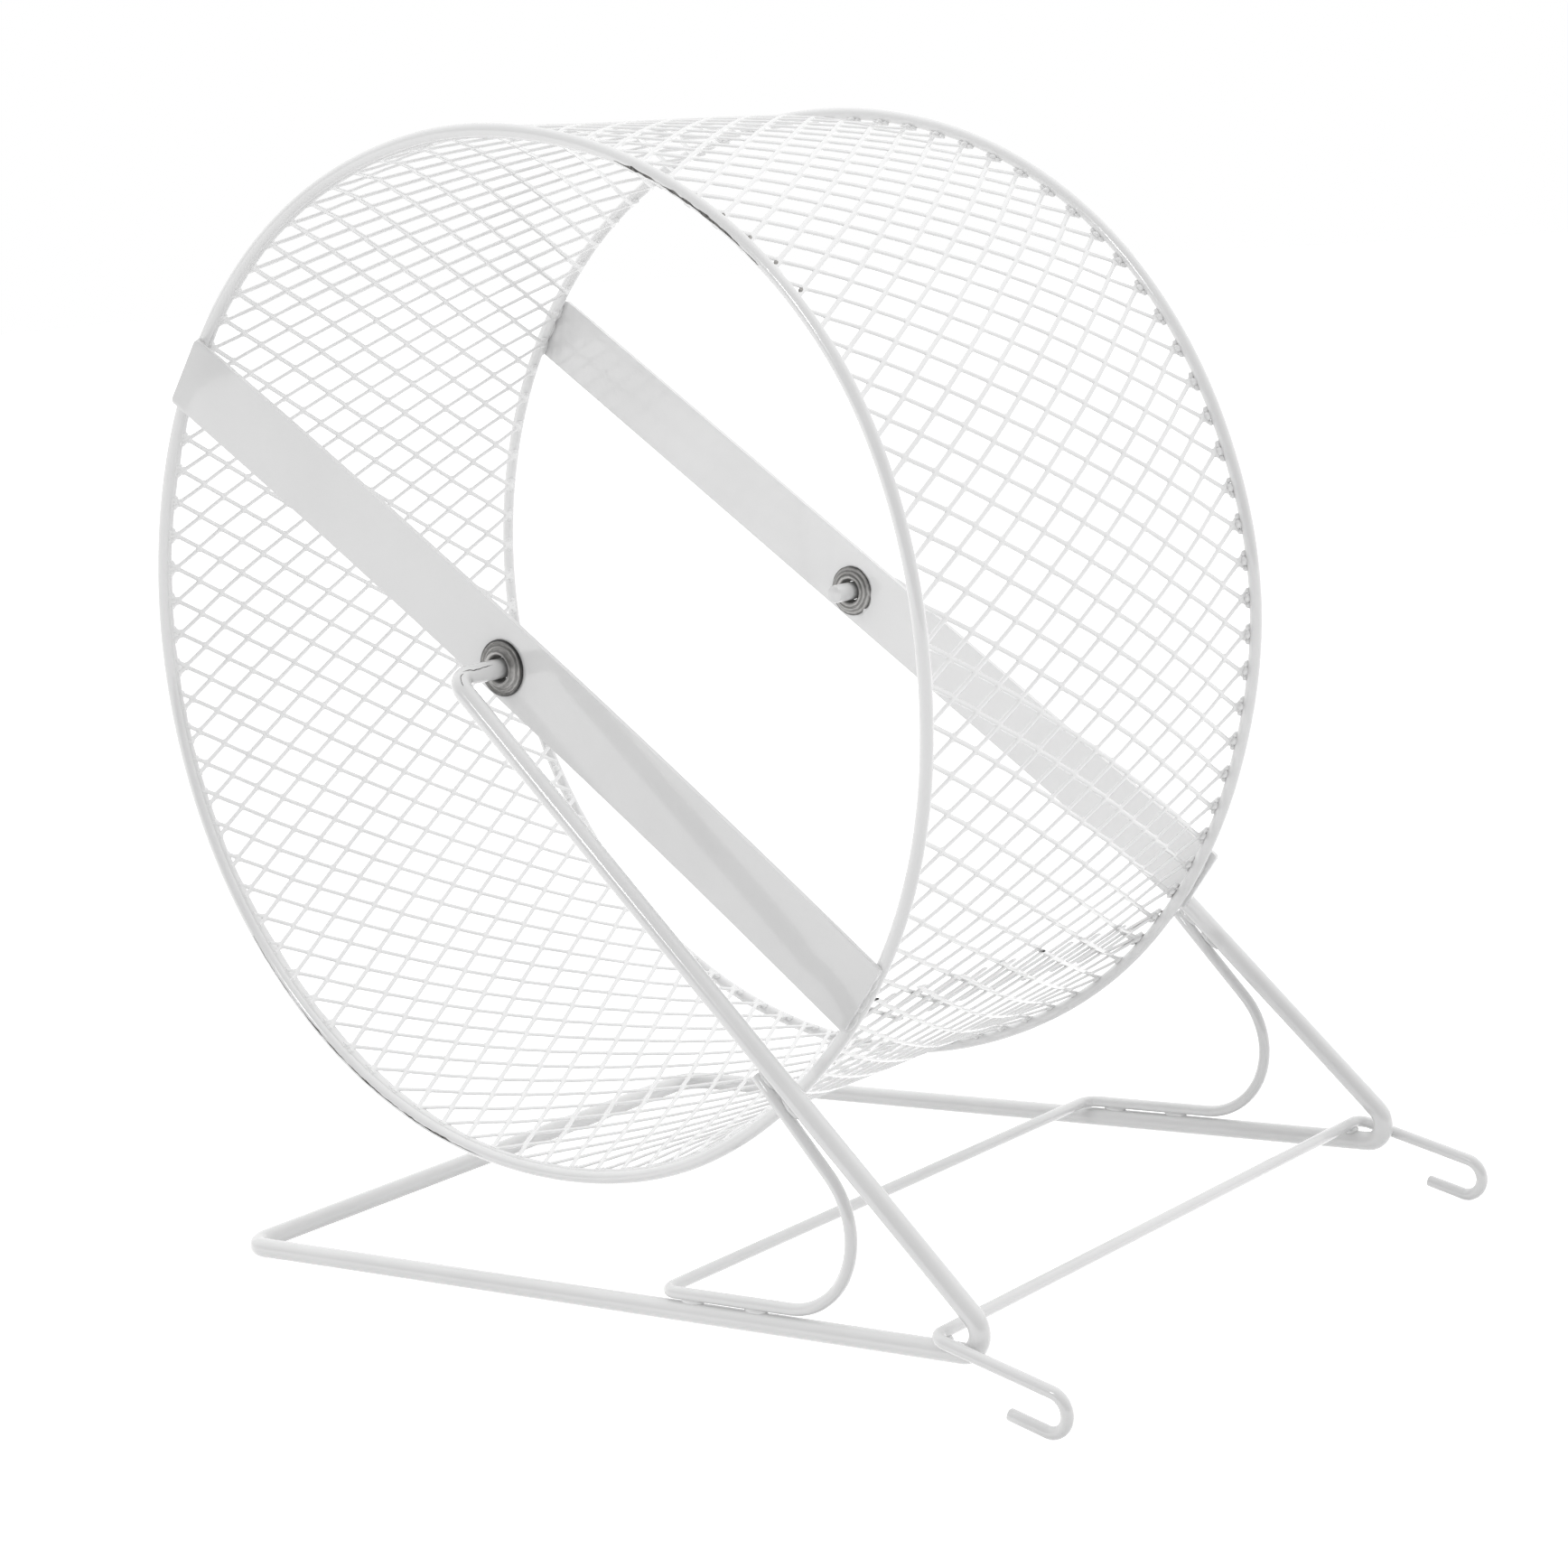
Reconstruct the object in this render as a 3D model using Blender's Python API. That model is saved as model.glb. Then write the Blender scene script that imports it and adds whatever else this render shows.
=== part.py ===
"""Exercise wheel for a hamster: an expanded-metal drum between two wire hoops, on a bent-wire stand.

Lengths are in metres and +Z is up. The wheel turns about an axle along Y. Seen from the front (from -Y)
the hooks are on the right (+X) and the open back of the stand is on the left. The stand rests on its rear
crosspiece and on its two hooks, so its floor rails rise a little towards the hooks.
"""

import math

import bpy
import bmesh
from mathutils import Vector

MM = 0.001

# Hoops
HOOP_OUTER_DIAMETER = 200.0 * MM
HOOP_WIRE_DIAMETER = 2.2 * MM
HOOP_SPACING = 102.0 * MM
HOOP_STEPS = 72
HOOP_SIDES = 8

# Running mesh, one rolled sheet of expanded metal
MESH_THICKNESS = 0.8 * MM
MESH_STRAND_WIDTH = 1.3 * MM
MESH_CELLS_AROUND = 40
MESH_HALF_ROWS = 8
MESH_LAP_CELLS = 1
MESH_LAP_GAP = 0.35 * MM
MESH_SEAM_ANGLE = math.radians(-48.0)

# Crossbars
CROSSBAR_END_INSET = 1.5 * MM
CROSSBAR_WIDTH = 15.0 * MM
CROSSBAR_THICKNESS = 1.0 * MM
CROSSBAR_CORNER_RADIUS = 1.5 * MM
CROSSBAR_CORNER_STEPS = 4
CROSSBAR_ANGLE = math.radians(35.2)

# Eyelets, the bearings of the wheel
EYELET_BORE_DIAMETER = 4.6 * MM
EYELET_WALL = 0.5 * MM
EYELET_FLANGE_DIAMETER = 10.8 * MM
EYELET_LIP_HEIGHT = 1.3 * MM
EYELET_CLINCH_DIAMETER = 9.0 * MM
EYELET_CLINCH_HEIGHT = 0.9 * MM
EYELET_PETALS = 6
EYELET_PETAL_NOTCH = 0.7 * MM
EYELET_STEPS = 24
EYELET_ARCH_STEPS = 4

# Stand, one thick wire
STAND_WIRE_DIAMETER = 3.8 * MM
AXLE_ABOVE_RAILS = 115.5 * MM
FOOT_REACH = 113.3 * MM
REAR_REACH = 77.0 * MM
RAIL_SPREAD = 136.6 * MM
LEG_TOP_SPREAD = 132.8 * MM
STUB_INSET = 6.0 * MM
AXLE_BEND_RADIUS = 4.0 * MM
FOOT_BEND_RADIUS = 4.0 * MM
REAR_BEND_RADIUS = 5.0 * MM

# Thin wires welded on the stand
THIN_WIRE_DIAMETER = 2.3 * MM
BRACE_SETBACK = 76.8 * MM
BRACE_ALONG_LEG = 95.0 * MM
BRACE_CURVE_RADIUS = 15.3 * MM
BRACE_LEAN = math.radians(4.5)
BRACE_BEND_RADIUS = 3.0 * MM
HOOK_SETBACK = 13.0 * MM
HOOK_ARM_LENGTH = 24.6 * MM
HOOK_ARM_SLOPE = math.radians(15.0)
HOOK_CURL_RADIUS = 3.6 * MM
HOOK_RETURN_LENGTH = 7.5 * MM
HOOK_BEND_RADIUS = 2.6 * MM

# Gap between pieces that touch on the real object
SEAT_GAP = 0.3 * MM
CUT_OVERRUN = 2.0 * MM

STAND_WIRE_ROUNDNESS = 4
THIN_WIRE_ROUNDNESS = 2
BEND_STEP = math.radians(15.0)
SMOOTH_ANGLE = math.radians(40.0)

# Sizes that follow from the driving ones
HOOP_WIRE_RADIUS = HOOP_WIRE_DIAMETER / 2
HOOP_CENTRE_RADIUS = HOOP_OUTER_DIAMETER / 2 - HOOP_WIRE_RADIUS
HOOP_PLANE = HOOP_SPACING / 2
MESH_OUTER_RADIUS = HOOP_CENTRE_RADIUS - HOOP_WIRE_RADIUS - SEAT_GAP
MESH_LENGTH = HOOP_SPACING
CROSSBAR_INNER_FACE = HOOP_PLANE + HOOP_WIRE_RADIUS + SEAT_GAP
CROSSBAR_OUTER_FACE = CROSSBAR_INNER_FACE + CROSSBAR_THICKNESS
CROSSBAR_LENGTH = HOOP_OUTER_DIAMETER - 2 * CROSSBAR_END_INSET
EYELET_BARREL_RADIUS = EYELET_BORE_DIAMETER / 2 + EYELET_WALL
STAND_WIRE_RADIUS = STAND_WIRE_DIAMETER / 2
THIN_WIRE_RADIUS = THIN_WIRE_DIAMETER / 2
WELD_OFFSET = STAND_WIRE_RADIUS + THIN_WIRE_RADIUS + SEAT_GAP
RAIL_Y = RAIL_SPREAD / 2
LEG_TOP_Y = LEG_TOP_SPREAD / 2
ON_RAIL_Z = WELD_OFFSET - AXLE_ABOVE_RAILS
BRACE_CROSSRUN_X = FOOT_REACH - BRACE_SETBACK
HOOK_CROSSRUN_X = FOOT_REACH - HOOK_SETBACK


def paint(obj, colour, roughness, metallic):
    material = bpy.data.materials.new(obj.name + "_finish")
    material.use_nodes = True
    shader = material.node_tree.nodes["Principled BSDF"]
    shader.inputs["Base Color"].default_value = (*colour, 1.0)
    shader.inputs["Roughness"].default_value = roughness
    shader.inputs["Metallic"].default_value = metallic
    obj.data.materials.append(material)


def paint_white_coat(obj):
    paint(obj, (0.80, 0.80, 0.80), 0.38, 0.0)


def paint_nickel(obj):
    paint(obj, (0.62, 0.62, 0.62), 0.18, 1.0)


def add_object(name, data, parent):
    obj = bpy.data.objects.new(name, data)
    bpy.context.scene.collection.objects.link(obj)
    obj.parent = parent
    return obj


def object_from_bmesh(name, bm, parent):
    bmesh.ops.recalc_face_normals(bm, faces=bm.faces)
    mesh = bpy.data.meshes.new(name)
    bm.to_mesh(mesh)
    bm.free()
    mesh.shade_smooth()
    mesh.set_sharp_from_angle(angle=SMOOTH_ANGLE)
    return add_object(name, mesh, parent)


# Bent wires
def rounded_path(corners, radii):
    """Points along straight runs through the corners, each corner rounded with its own radius."""
    points = [Vector(corners[0])]
    for before, corner, after, radius in zip(corners, corners[1:], corners[2:], radii):
        corner = Vector(corner)
        back = (Vector(before) - corner).normalized()
        ahead = (Vector(after) - corner).normalized()
        half_angle = back.angle(ahead) / 2
        bisector = (back + ahead).normalized()
        centre = corner + bisector * (radius / math.sin(half_angle))
        turn = math.pi - 2 * half_angle
        steps = max(2, round(turn / BEND_STEP))
        across = (back - bisector * math.cos(half_angle)).normalized()
        for step in range(steps + 1):
            angle = turn * (step / steps - 0.5)
            outward = -bisector * math.cos(angle) - across * math.sin(angle)
            points.append(centre + outward * radius)
    points.append(Vector(corners[-1]))
    return points


def bent_wire(name, points, radius, roundness, parent):
    curve = bpy.data.curves.new(name, "CURVE")
    curve.dimensions = "3D"
    curve.bevel_depth = radius
    curve.bevel_resolution = roundness
    curve.use_fill_caps = True
    spline = curve.splines.new("POLY")
    spline.points.add(len(points) - 1)
    for slot, point in zip(spline.points, points):
        slot.co = (*point, 1.0)
    wire = add_object(name, curve, parent)
    paint_white_coat(wire)
    return wire


def mirrored_path(half):
    """A path drawn from its middle to its back end, doubled by its reflection to the front."""
    front = [Vector((point.x, -point.y, point.z)) for point in reversed(half)]
    return front + half


def stand_path():
    """From the stub in the front eyelet down the leg, round the floor and up to the back eyelet."""
    stub_end = (0, CROSSBAR_INNER_FACE - STUB_INSET, 0)
    half_corners = [
        (-REAR_REACH, 0, -AXLE_ABOVE_RAILS),
        (-REAR_REACH, RAIL_Y, -AXLE_ABOVE_RAILS),
        (FOOT_REACH, RAIL_Y, -AXLE_ABOVE_RAILS),
        (0, LEG_TOP_Y, 0),
        stub_end,
    ]
    half = rounded_path(half_corners, [REAR_BEND_RADIUS, FOOT_BEND_RADIUS, AXLE_BEND_RADIUS])
    return mirrored_path(half[1:])


def brace_path():
    """Across both rails, along them, round the crook of the foot and up under the legs."""
    leg = Vector((FOOT_REACH, RAIL_Y - LEG_TOP_Y, -AXLE_ABOVE_RAILS)).normalized()
    leg_top = Vector((0, LEG_TOP_Y, 0))
    rail = Vector((-1, 0, 0))
    under_leg = (rail - leg * rail.dot(leg)).normalized()
    end = leg_top + leg * BRACE_ALONG_LEG + under_leg * WELD_OFFSET
    away = leg * math.cos(BRACE_LEAN) + under_leg * math.sin(BRACE_LEAN)
    crook = end + away * ((ON_RAIL_Z - end.z) / away.z)
    half_corners = [
        (BRACE_CROSSRUN_X, 0, ON_RAIL_Z),
        (BRACE_CROSSRUN_X, RAIL_Y, ON_RAIL_Z),
        crook,
        end,
    ]
    half = rounded_path(half_corners, [BRACE_BEND_RADIUS, BRACE_CURVE_RADIUS])
    return mirrored_path(half[1:])


def hook_path():
    """Across both rails, then forward and down outside the feet, ending in two curled hooks."""
    arm_y = RAIL_Y + WELD_OFFSET
    forward = Vector((math.cos(HOOK_ARM_SLOPE), 0, -math.sin(HOOK_ARM_SLOPE)))
    inward = Vector((-math.sin(HOOK_ARM_SLOPE), 0, -math.cos(HOOK_ARM_SLOPE)))
    start = Vector((HOOK_CROSSRUN_X, arm_y, ON_RAIL_Z))
    arm_end = start + forward * HOOK_ARM_LENGTH
    half = rounded_path([(HOOK_CROSSRUN_X, 0, ON_RAIL_Z), start, arm_end], [HOOK_BEND_RADIUS])
    centre = arm_end + inward * HOOK_CURL_RADIUS
    steps = round(math.pi / BEND_STEP)
    for step in range(1, steps + 1):
        angle = math.pi * step / steps
        outward = forward * math.sin(angle) - inward * math.cos(angle)
        half.append(centre + outward * HOOK_CURL_RADIUS)
    half.append(half[-1] - forward * HOOK_RETURN_LENGTH)
    return mirrored_path(half[1:])


# How the stand lies on a flat floor
def curl_centre():
    forward = Vector((math.cos(HOOK_ARM_SLOPE), 0, -math.sin(HOOK_ARM_SLOPE)))
    inward = Vector((-math.sin(HOOK_ARM_SLOPE), 0, -math.cos(HOOK_ARM_SLOPE)))
    start = Vector((HOOK_CROSSRUN_X, 0, ON_RAIL_Z))
    return start + forward * HOOK_ARM_LENGTH + inward * HOOK_CURL_RADIUS


def resting_tilt():
    """The angle that brings the curls of the hooks and the rear crosspiece down to one level."""
    curl = curl_centre()
    run = curl.x + REAR_REACH
    drop = -AXLE_ABOVE_RAILS - curl.z
    radius_difference = HOOK_CURL_RADIUS + THIN_WIRE_RADIUS - STAND_WIRE_RADIUS
    return math.atan2(drop, run) + math.asin(radius_difference / math.hypot(run, drop))


TILT = resting_tilt()


def tilted(x, z):
    return (
        x * math.cos(TILT) - z * math.sin(TILT),
        x * math.sin(TILT) + z * math.cos(TILT),
    )


def axle_height():
    rear_z = tilted(-REAR_REACH, -AXLE_ABOVE_RAILS)[1]
    return STAND_WIRE_RADIUS - rear_z


def axle_setback():
    """Puts the origin midway between the back of the wheel and the tips of the hooks."""
    curl = curl_centre()
    hook_tip = tilted(curl.x, curl.z)[0] + HOOK_CURL_RADIUS + THIN_WIRE_RADIUS
    return (HOOP_OUTER_DIAMETER / 2 - hook_tip) / 2


# Round pieces about the axle
def revolved(name, profile, steps, parent):
    """Turns a closed profile of (radius, place along the axle) about Y."""
    bm = bmesh.new()
    ring = [bm.verts.new((radius, along, 0)) for radius, along in profile]
    edges = [bm.edges.new((a, b)) for a, b in zip(ring, ring[1:] + ring[:1])]
    bmesh.ops.spin(
        bm,
        geom=ring + edges,
        cent=(0, 0, 0),
        axis=(0, 1, 0),
        angle=2 * math.pi,
        steps=steps,
        use_merge=True,
    )
    return object_from_bmesh(name, bm, parent)


def hoop(name, side, parent):
    profile = []
    for step in range(HOOP_SIDES):
        angle = 2 * math.pi * (step + 0.5) / HOOP_SIDES
        radius = HOOP_CENTRE_RADIUS + HOOP_WIRE_RADIUS * math.cos(angle)
        profile.append((radius, side * HOOP_PLANE + HOOP_WIRE_RADIUS * math.sin(angle)))
    ring = revolved(name, profile, HOOP_STEPS, parent)
    paint_white_coat(ring)


def arch(outer_radius, inner_radius, base, height):
    """A rolled lip in section, from its outer edge over the crest to its inner edge."""
    crest = (outer_radius + inner_radius) / 2
    reach = (outer_radius - inner_radius) / 2
    points = []
    for step in range(EYELET_ARCH_STEPS + 1):
        angle = math.pi * step / EYELET_ARCH_STEPS
        points.append((crest + reach * math.cos(angle), base + height * math.sin(angle)))
    return points


def split_clinch(ring, side):
    """Notches the clinched rim between its petals, where the barrel split as it was rolled over."""
    crest = (EYELET_CLINCH_DIAMETER + EYELET_BORE_DIAMETER) / 4
    reach = (EYELET_CLINCH_DIAMETER - EYELET_BORE_DIAMETER) / 4
    for vert in ring.data.vertices:
        radius = math.hypot(vert.co.x, vert.co.z)
        if side * vert.co.y > CROSSBAR_INNER_FACE or radius < crest:
            continue
        petal = math.atan2(vert.co.z, vert.co.x) / (2 * math.pi) * EYELET_PETALS
        from_notch = 2 * abs(petal - round(petal))
        drawn_in = EYELET_PETAL_NOTCH * (1 - from_notch) ** 2 * (radius - crest) / reach
        vert.co.x *= 1 - drawn_in / radius
        vert.co.z *= 1 - drawn_in / radius


def eyelet(name, side, parent):
    bore = EYELET_BORE_DIAMETER / 2
    outer_seat = CROSSBAR_OUTER_FACE + SEAT_GAP
    inner_seat = CROSSBAR_INNER_FACE - SEAT_GAP
    lip = arch(EYELET_FLANGE_DIAMETER / 2, bore, outer_seat, EYELET_LIP_HEIGHT)
    clinch = arch(EYELET_CLINCH_DIAMETER / 2, bore, inner_seat, -EYELET_CLINCH_HEIGHT)
    barrel = [(EYELET_BARREL_RADIUS, inner_seat), (EYELET_BARREL_RADIUS, outer_seat)]
    profile = [(radius, side * along) for radius, along in lip + clinch[::-1] + barrel]
    ring = revolved(name, profile, EYELET_STEPS, parent)
    split_clinch(ring, side)
    paint_nickel(ring)


# Crossbars
def rounded_rectangle(length, width, radius):
    points = []
    quarters = ((1, 1), (-1, 1), (-1, -1), (1, -1))
    for quarter, (sign_x, sign_z) in enumerate(quarters):
        centre_x = sign_x * (length / 2 - radius)
        centre_z = sign_z * (width / 2 - radius)
        for step in range(CROSSBAR_CORNER_STEPS + 1):
            angle = math.pi / 2 * (quarter + step / CROSSBAR_CORNER_STEPS)
            points.append((centre_x + radius * math.cos(angle), centre_z + radius * math.sin(angle)))
    return points


def hole_cutter(name, side, parent):
    bm = bmesh.new()
    bmesh.ops.create_cone(
        bm,
        cap_ends=True,
        segments=EYELET_STEPS,
        radius1=EYELET_BARREL_RADIUS + SEAT_GAP,
        radius2=EYELET_BARREL_RADIUS + SEAT_GAP,
        depth=CROSSBAR_THICKNESS + 2 * CUT_OVERRUN,
    )
    cutter = object_from_bmesh(name, bm, parent)
    cutter.rotation_euler.x = math.pi / 2
    cutter.location.y = side * (CROSSBAR_INNER_FACE + CROSSBAR_OUTER_FACE) / 2
    cutter.hide_render = True
    cutter.display_type = "WIRE"
    return cutter


def crossbar(name, side, parent):
    bm = bmesh.new()
    outline = rounded_rectangle(CROSSBAR_LENGTH, CROSSBAR_WIDTH, CROSSBAR_CORNER_RADIUS)
    corners = [bm.verts.new((x, side * CROSSBAR_INNER_FACE, z)) for x, z in outline]
    face = bm.faces.new(corners)
    lifted = bmesh.ops.extrude_face_region(bm, geom=[face])
    for item in lifted["geom"]:
        if isinstance(item, bmesh.types.BMVert):
            item.co.y = side * CROSSBAR_OUTER_FACE
    strip = object_from_bmesh(name, bm, parent)
    strip.rotation_euler.y = CROSSBAR_ANGLE
    cut = strip.modifiers.new("eyelet_hole", "BOOLEAN")
    cut.operation = "DIFFERENCE"
    cut.solver = "EXACT"
    cut.object = hole_cutter(name + "_hole", side, parent)
    paint_white_coat(strip)


# Running mesh
class RolledSheet:
    """Expanded metal: rows of diamonds between slanting strands, rolled up with a lapped seam.

    A place on the flat sheet is (cell, row): cell counts diamonds round the drum and row counts half
    diamonds along the axle. Strands cross in a bond wherever cell + row / 2 is a whole number.
    """

    def __init__(self):
        self.bm = bmesh.new()
        self.made = {}
        self.cells = MESH_CELLS_AROUND + MESH_LAP_CELLS
        self.rows = MESH_HALF_ROWS
        half_across = math.pi * MESH_OUTER_RADIUS / MESH_CELLS_AROUND
        half_along = MESH_LENGTH / MESH_HALF_ROWS
        slant = math.hypot(half_across, half_along)
        inset = MESH_STRAND_WIDTH / 2 * slant
        self.hole_cells = 0.5 - 0.5 * inset / (half_across * half_along)
        self.hole_rows = 1 - inset / (half_across * half_along)

    def lap_step(self, cell):
        """How far the sheet's first cells lie inside its last ones, easing out past the lap."""
        ease = min(max(cell - MESH_LAP_CELLS, 0), 1)
        return (MESH_THICKNESS + MESH_LAP_GAP) * (1 - ease * ease * (3 - 2 * ease))

    def vert(self, cell, row, face):
        key = (round(cell * 1000), round(row * 1000), face)
        if key not in self.made:
            radius = MESH_OUTER_RADIUS - self.lap_step(cell) - (1 - face) * MESH_THICKNESS
            angle = MESH_SEAM_ANGLE + 2 * math.pi * cell / MESH_CELLS_AROUND
            along = MESH_LENGTH * (row / self.rows - 0.5)
            self.made[key] = self.bm.verts.new((radius * math.cos(angle), along, radius * math.sin(angle)))
        return self.made[key]

    def wall(self, a, b):
        self.bm.faces.new([self.vert(*a, 0), self.vert(*b, 0), self.vert(*b, 1), self.vert(*a, 1)])

    def strands(self, bonds, holes):
        """Both faces of the strands between bonds, up to the hole's edge, and the hole's wall."""
        for a, b, hole_a, hole_b in zip(bonds, bonds[1:], holes, holes[1:]):
            for face in (0, 1):
                self.bm.faces.new([self.vert(*place, face) for place in (a, b, hole_b, hole_a)])
            self.wall(hole_a, hole_b)

    def diamond(self, cell, row):
        """One diamond, cut open where it lies on an edge of the sheet."""
        bonds = [(cell - 0.5, row), (cell, row - 1), (cell + 0.5, row), (cell, row + 1)]
        across = self.hole_cells
        along = self.hole_rows
        holes = [(cell - across, row), (cell, row - along), (cell + across, row), (cell, row + along)]
        inside = [0 <= c <= self.cells and 0 <= r <= self.rows for c, r in bonds]
        if all(inside):
            self.strands(bonds + bonds[:1], holes + holes[:1])
            return
        first = (inside.index(False) + 1) % 4
        order = [(first + step) % 4 for step in range(3)]
        bonds = [bonds[index] for index in order]
        holes = [holes[index] for index in order]
        self.strands(bonds, holes)
        self.wall(bonds[0], holes[0])
        self.wall(bonds[2], holes[2])

    def build(self):
        for row in range(self.rows + 1):
            if row % 2:
                for cell in range(self.cells + 1):
                    self.diamond(cell, row)
            else:
                for cell in range(self.cells):
                    self.diamond(cell + 0.5, row)
        return self.bm


def running_mesh(parent):
    sheet = object_from_bmesh("running_mesh", RolledSheet().build(), parent)
    paint_white_coat(sheet)


def main():
    for obj in list(bpy.data.objects):
        bpy.data.objects.remove(obj)

    stand = add_object("stand_frame", None, None)
    stand.location = (axle_setback(), 0, axle_height())
    stand.rotation_euler.y = -TILT
    bent_wire("stand_wire", stand_path(), STAND_WIRE_RADIUS, STAND_WIRE_ROUNDNESS, stand)
    bent_wire("brace_wire", brace_path(), THIN_WIRE_RADIUS, THIN_WIRE_ROUNDNESS, stand)
    bent_wire("hook_wire", hook_path(), THIN_WIRE_RADIUS, THIN_WIRE_ROUNDNESS, stand)

    axle = add_object("wheel_axle", None, None)
    axle.location = (axle_setback(), 0, axle_height())
    running_mesh(axle)
    for place, side in (("front", -1), ("back", 1)):
        hoop(place + "_hoop", side, axle)
        crossbar(place + "_crossbar", side, axle)
        eyelet(place + "_eyelet", side, axle)


main()
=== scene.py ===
import math

import bmesh
import bpy
from mathutils import Matrix, Vector, noise


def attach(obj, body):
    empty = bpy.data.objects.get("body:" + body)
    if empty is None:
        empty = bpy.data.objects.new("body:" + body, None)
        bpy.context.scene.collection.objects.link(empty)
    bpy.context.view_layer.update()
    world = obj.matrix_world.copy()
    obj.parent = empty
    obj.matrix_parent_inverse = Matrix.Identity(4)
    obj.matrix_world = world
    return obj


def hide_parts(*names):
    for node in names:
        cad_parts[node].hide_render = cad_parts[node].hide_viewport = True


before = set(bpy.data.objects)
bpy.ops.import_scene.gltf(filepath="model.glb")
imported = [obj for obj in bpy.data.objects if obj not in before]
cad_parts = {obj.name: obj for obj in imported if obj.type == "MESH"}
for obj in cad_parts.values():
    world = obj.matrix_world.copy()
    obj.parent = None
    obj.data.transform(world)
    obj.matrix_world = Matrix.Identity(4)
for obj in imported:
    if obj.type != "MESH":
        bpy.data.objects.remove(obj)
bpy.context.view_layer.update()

MM = 0.001
RIGHT = Vector((1, 0, 0))
ALONG_AXLE = Vector((0, 1, 0))
UP = Vector((0, 0, 1))

# Sizes shared with the solids
HOOP_OUTER_DIAMETER = 200.0 * MM
HOOP_WIRE_DIAMETER = 2.2 * MM
HOOP_SPACING = 102.0 * MM
CROSSBAR_THICKNESS = 1.0 * MM
CROSSBAR_ANGLE = math.radians(35.2)
EYELET_BORE_DIAMETER = 4.6 * MM
EYELET_WALL = 0.5 * MM
EYELET_FLANGE_DIAMETER = 10.8 * MM
EYELET_LIP_HEIGHT = 1.3 * MM
EYELET_CLINCH_HEIGHT = 0.9 * MM
STAND_WIRE_DIAMETER = 3.8 * MM
AXLE_ABOVE_RAILS = 115.5 * MM
FOOT_REACH = 113.3 * MM
REAR_REACH = 77.0 * MM
RAIL_SPREAD = 136.6 * MM
LEG_TOP_SPREAD = 132.8 * MM
STUB_INSET = 6.0 * MM
AXLE_BEND_RADIUS = 4.0 * MM
FOOT_BEND_RADIUS = 4.0 * MM
REAR_BEND_RADIUS = 5.0 * MM
THIN_WIRE_DIAMETER = 2.3 * MM
BRACE_SETBACK = 76.8 * MM
BRACE_ALONG_LEG = 95.0 * MM
BRACE_CURVE_RADIUS = 15.3 * MM
BRACE_LEAN = math.radians(4.5)
BRACE_BEND_RADIUS = 3.0 * MM
HOOK_SETBACK = 13.0 * MM
HOOK_ARM_LENGTH = 24.6 * MM
HOOK_ARM_SLOPE = math.radians(15.0)
HOOK_CURL_RADIUS = 3.6 * MM
HOOK_RETURN_LENGTH = 7.5 * MM
HOOK_BEND_RADIUS = 2.6 * MM
SEAT_GAP = 0.3 * MM

# Sizes that follow
HOOP_OUTER_RADIUS = HOOP_OUTER_DIAMETER / 2
HOOP_WIRE_RADIUS = HOOP_WIRE_DIAMETER / 2
HOOP_CENTRE_RADIUS = HOOP_OUTER_RADIUS - HOOP_WIRE_RADIUS
HOOP_PLANE = HOOP_SPACING / 2
CROSSBAR_INNER_FACE = HOOP_PLANE + HOOP_WIRE_RADIUS + SEAT_GAP
CROSSBAR_OUTER_FACE = CROSSBAR_INNER_FACE + CROSSBAR_THICKNESS
EYELET_BORE_RADIUS = EYELET_BORE_DIAMETER / 2
EYELET_RIM_RADIUS = EYELET_FLANGE_DIAMETER / 2
EYELET_BARREL_RADIUS = EYELET_BORE_RADIUS + EYELET_WALL
EYELET_MOUTH = CROSSBAR_OUTER_FACE + EYELET_LIP_HEIGHT + SEAT_GAP
STAND_WIRE_RADIUS = STAND_WIRE_DIAMETER / 2
THIN_WIRE_RADIUS = THIN_WIRE_DIAMETER / 2
WELD_OFFSET = STAND_WIRE_RADIUS + THIN_WIRE_RADIUS + SEAT_GAP
RAIL_Y = RAIL_SPREAD / 2
LEG_TOP_Y = LEG_TOP_SPREAD / 2
ON_RAIL_Z = WELD_OFFSET - AXLE_ABOVE_RAILS
BRACE_CROSSRUN_X = FOOT_REACH - BRACE_SETBACK
HOOK_CROSSRUN_X = FOOT_REACH - HOOK_SETBACK

# The drawn sheet of expanded metal
SHEET_THICKNESS = 0.56 * MM
SHEET_MIDDLE_RADIUS = 96.9 * MM
STRAND_WIDTH = 0.86 * MM
DIAMOND_AROUND = 6.96 * MM
DIAMOND_ALONG = 12.19 * MM
SHEET_START = 1.4 * DIAMOND_AROUND
BOND_HALF_LENGTH = 0.40 * MM
HOLE_TIP_SETBACK = 0.42 * MM
HOLE_TIP_SPREAD = 0.17 * MM
HOLE_TIP_RUN = 0.66 * MM
SHEET_EDGE_INSET = 0.5 * MM
FIRST_ROW_INSET = 3.2 * MM
ROW_STEP_OVER_TOP = 1.1 * MM
ROW_STEP_RANGE = (70, 130)
ROW_RUN_OUT = 0.068 * MM
ROW_RUN_OUT_START = 187
ROW_ARCH = 2.1 * MM
ROW_ARCH_GAIN = 1.3
ROW_ARCH_RANGE = (60, 160)
ROW_SPREAD = 0.010
ROW_SQUEEZE = 0.060
CELL_LAG = 0.6 * MM
CELL_LEAD = 2.6 * MM
CELL_LEAD_RANGE = (-40, 140)
CELL_SKEW = 0.010
CELL_LATE_SKEW = 0.012
LATE_RANGE = (150, 240)
RIM_FLARE = 0.45 * MM
RIM_FLARE_RUN = 9.0 * MM
RIM_LAP_CLOSING = 0.6
BARREL = 0.35 * MM
BARREL_RUN = 15.0 * MM
SEAM_ANGLE = math.radians(-47.3)
LAP_LENGTH = 10.5 * MM
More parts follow.
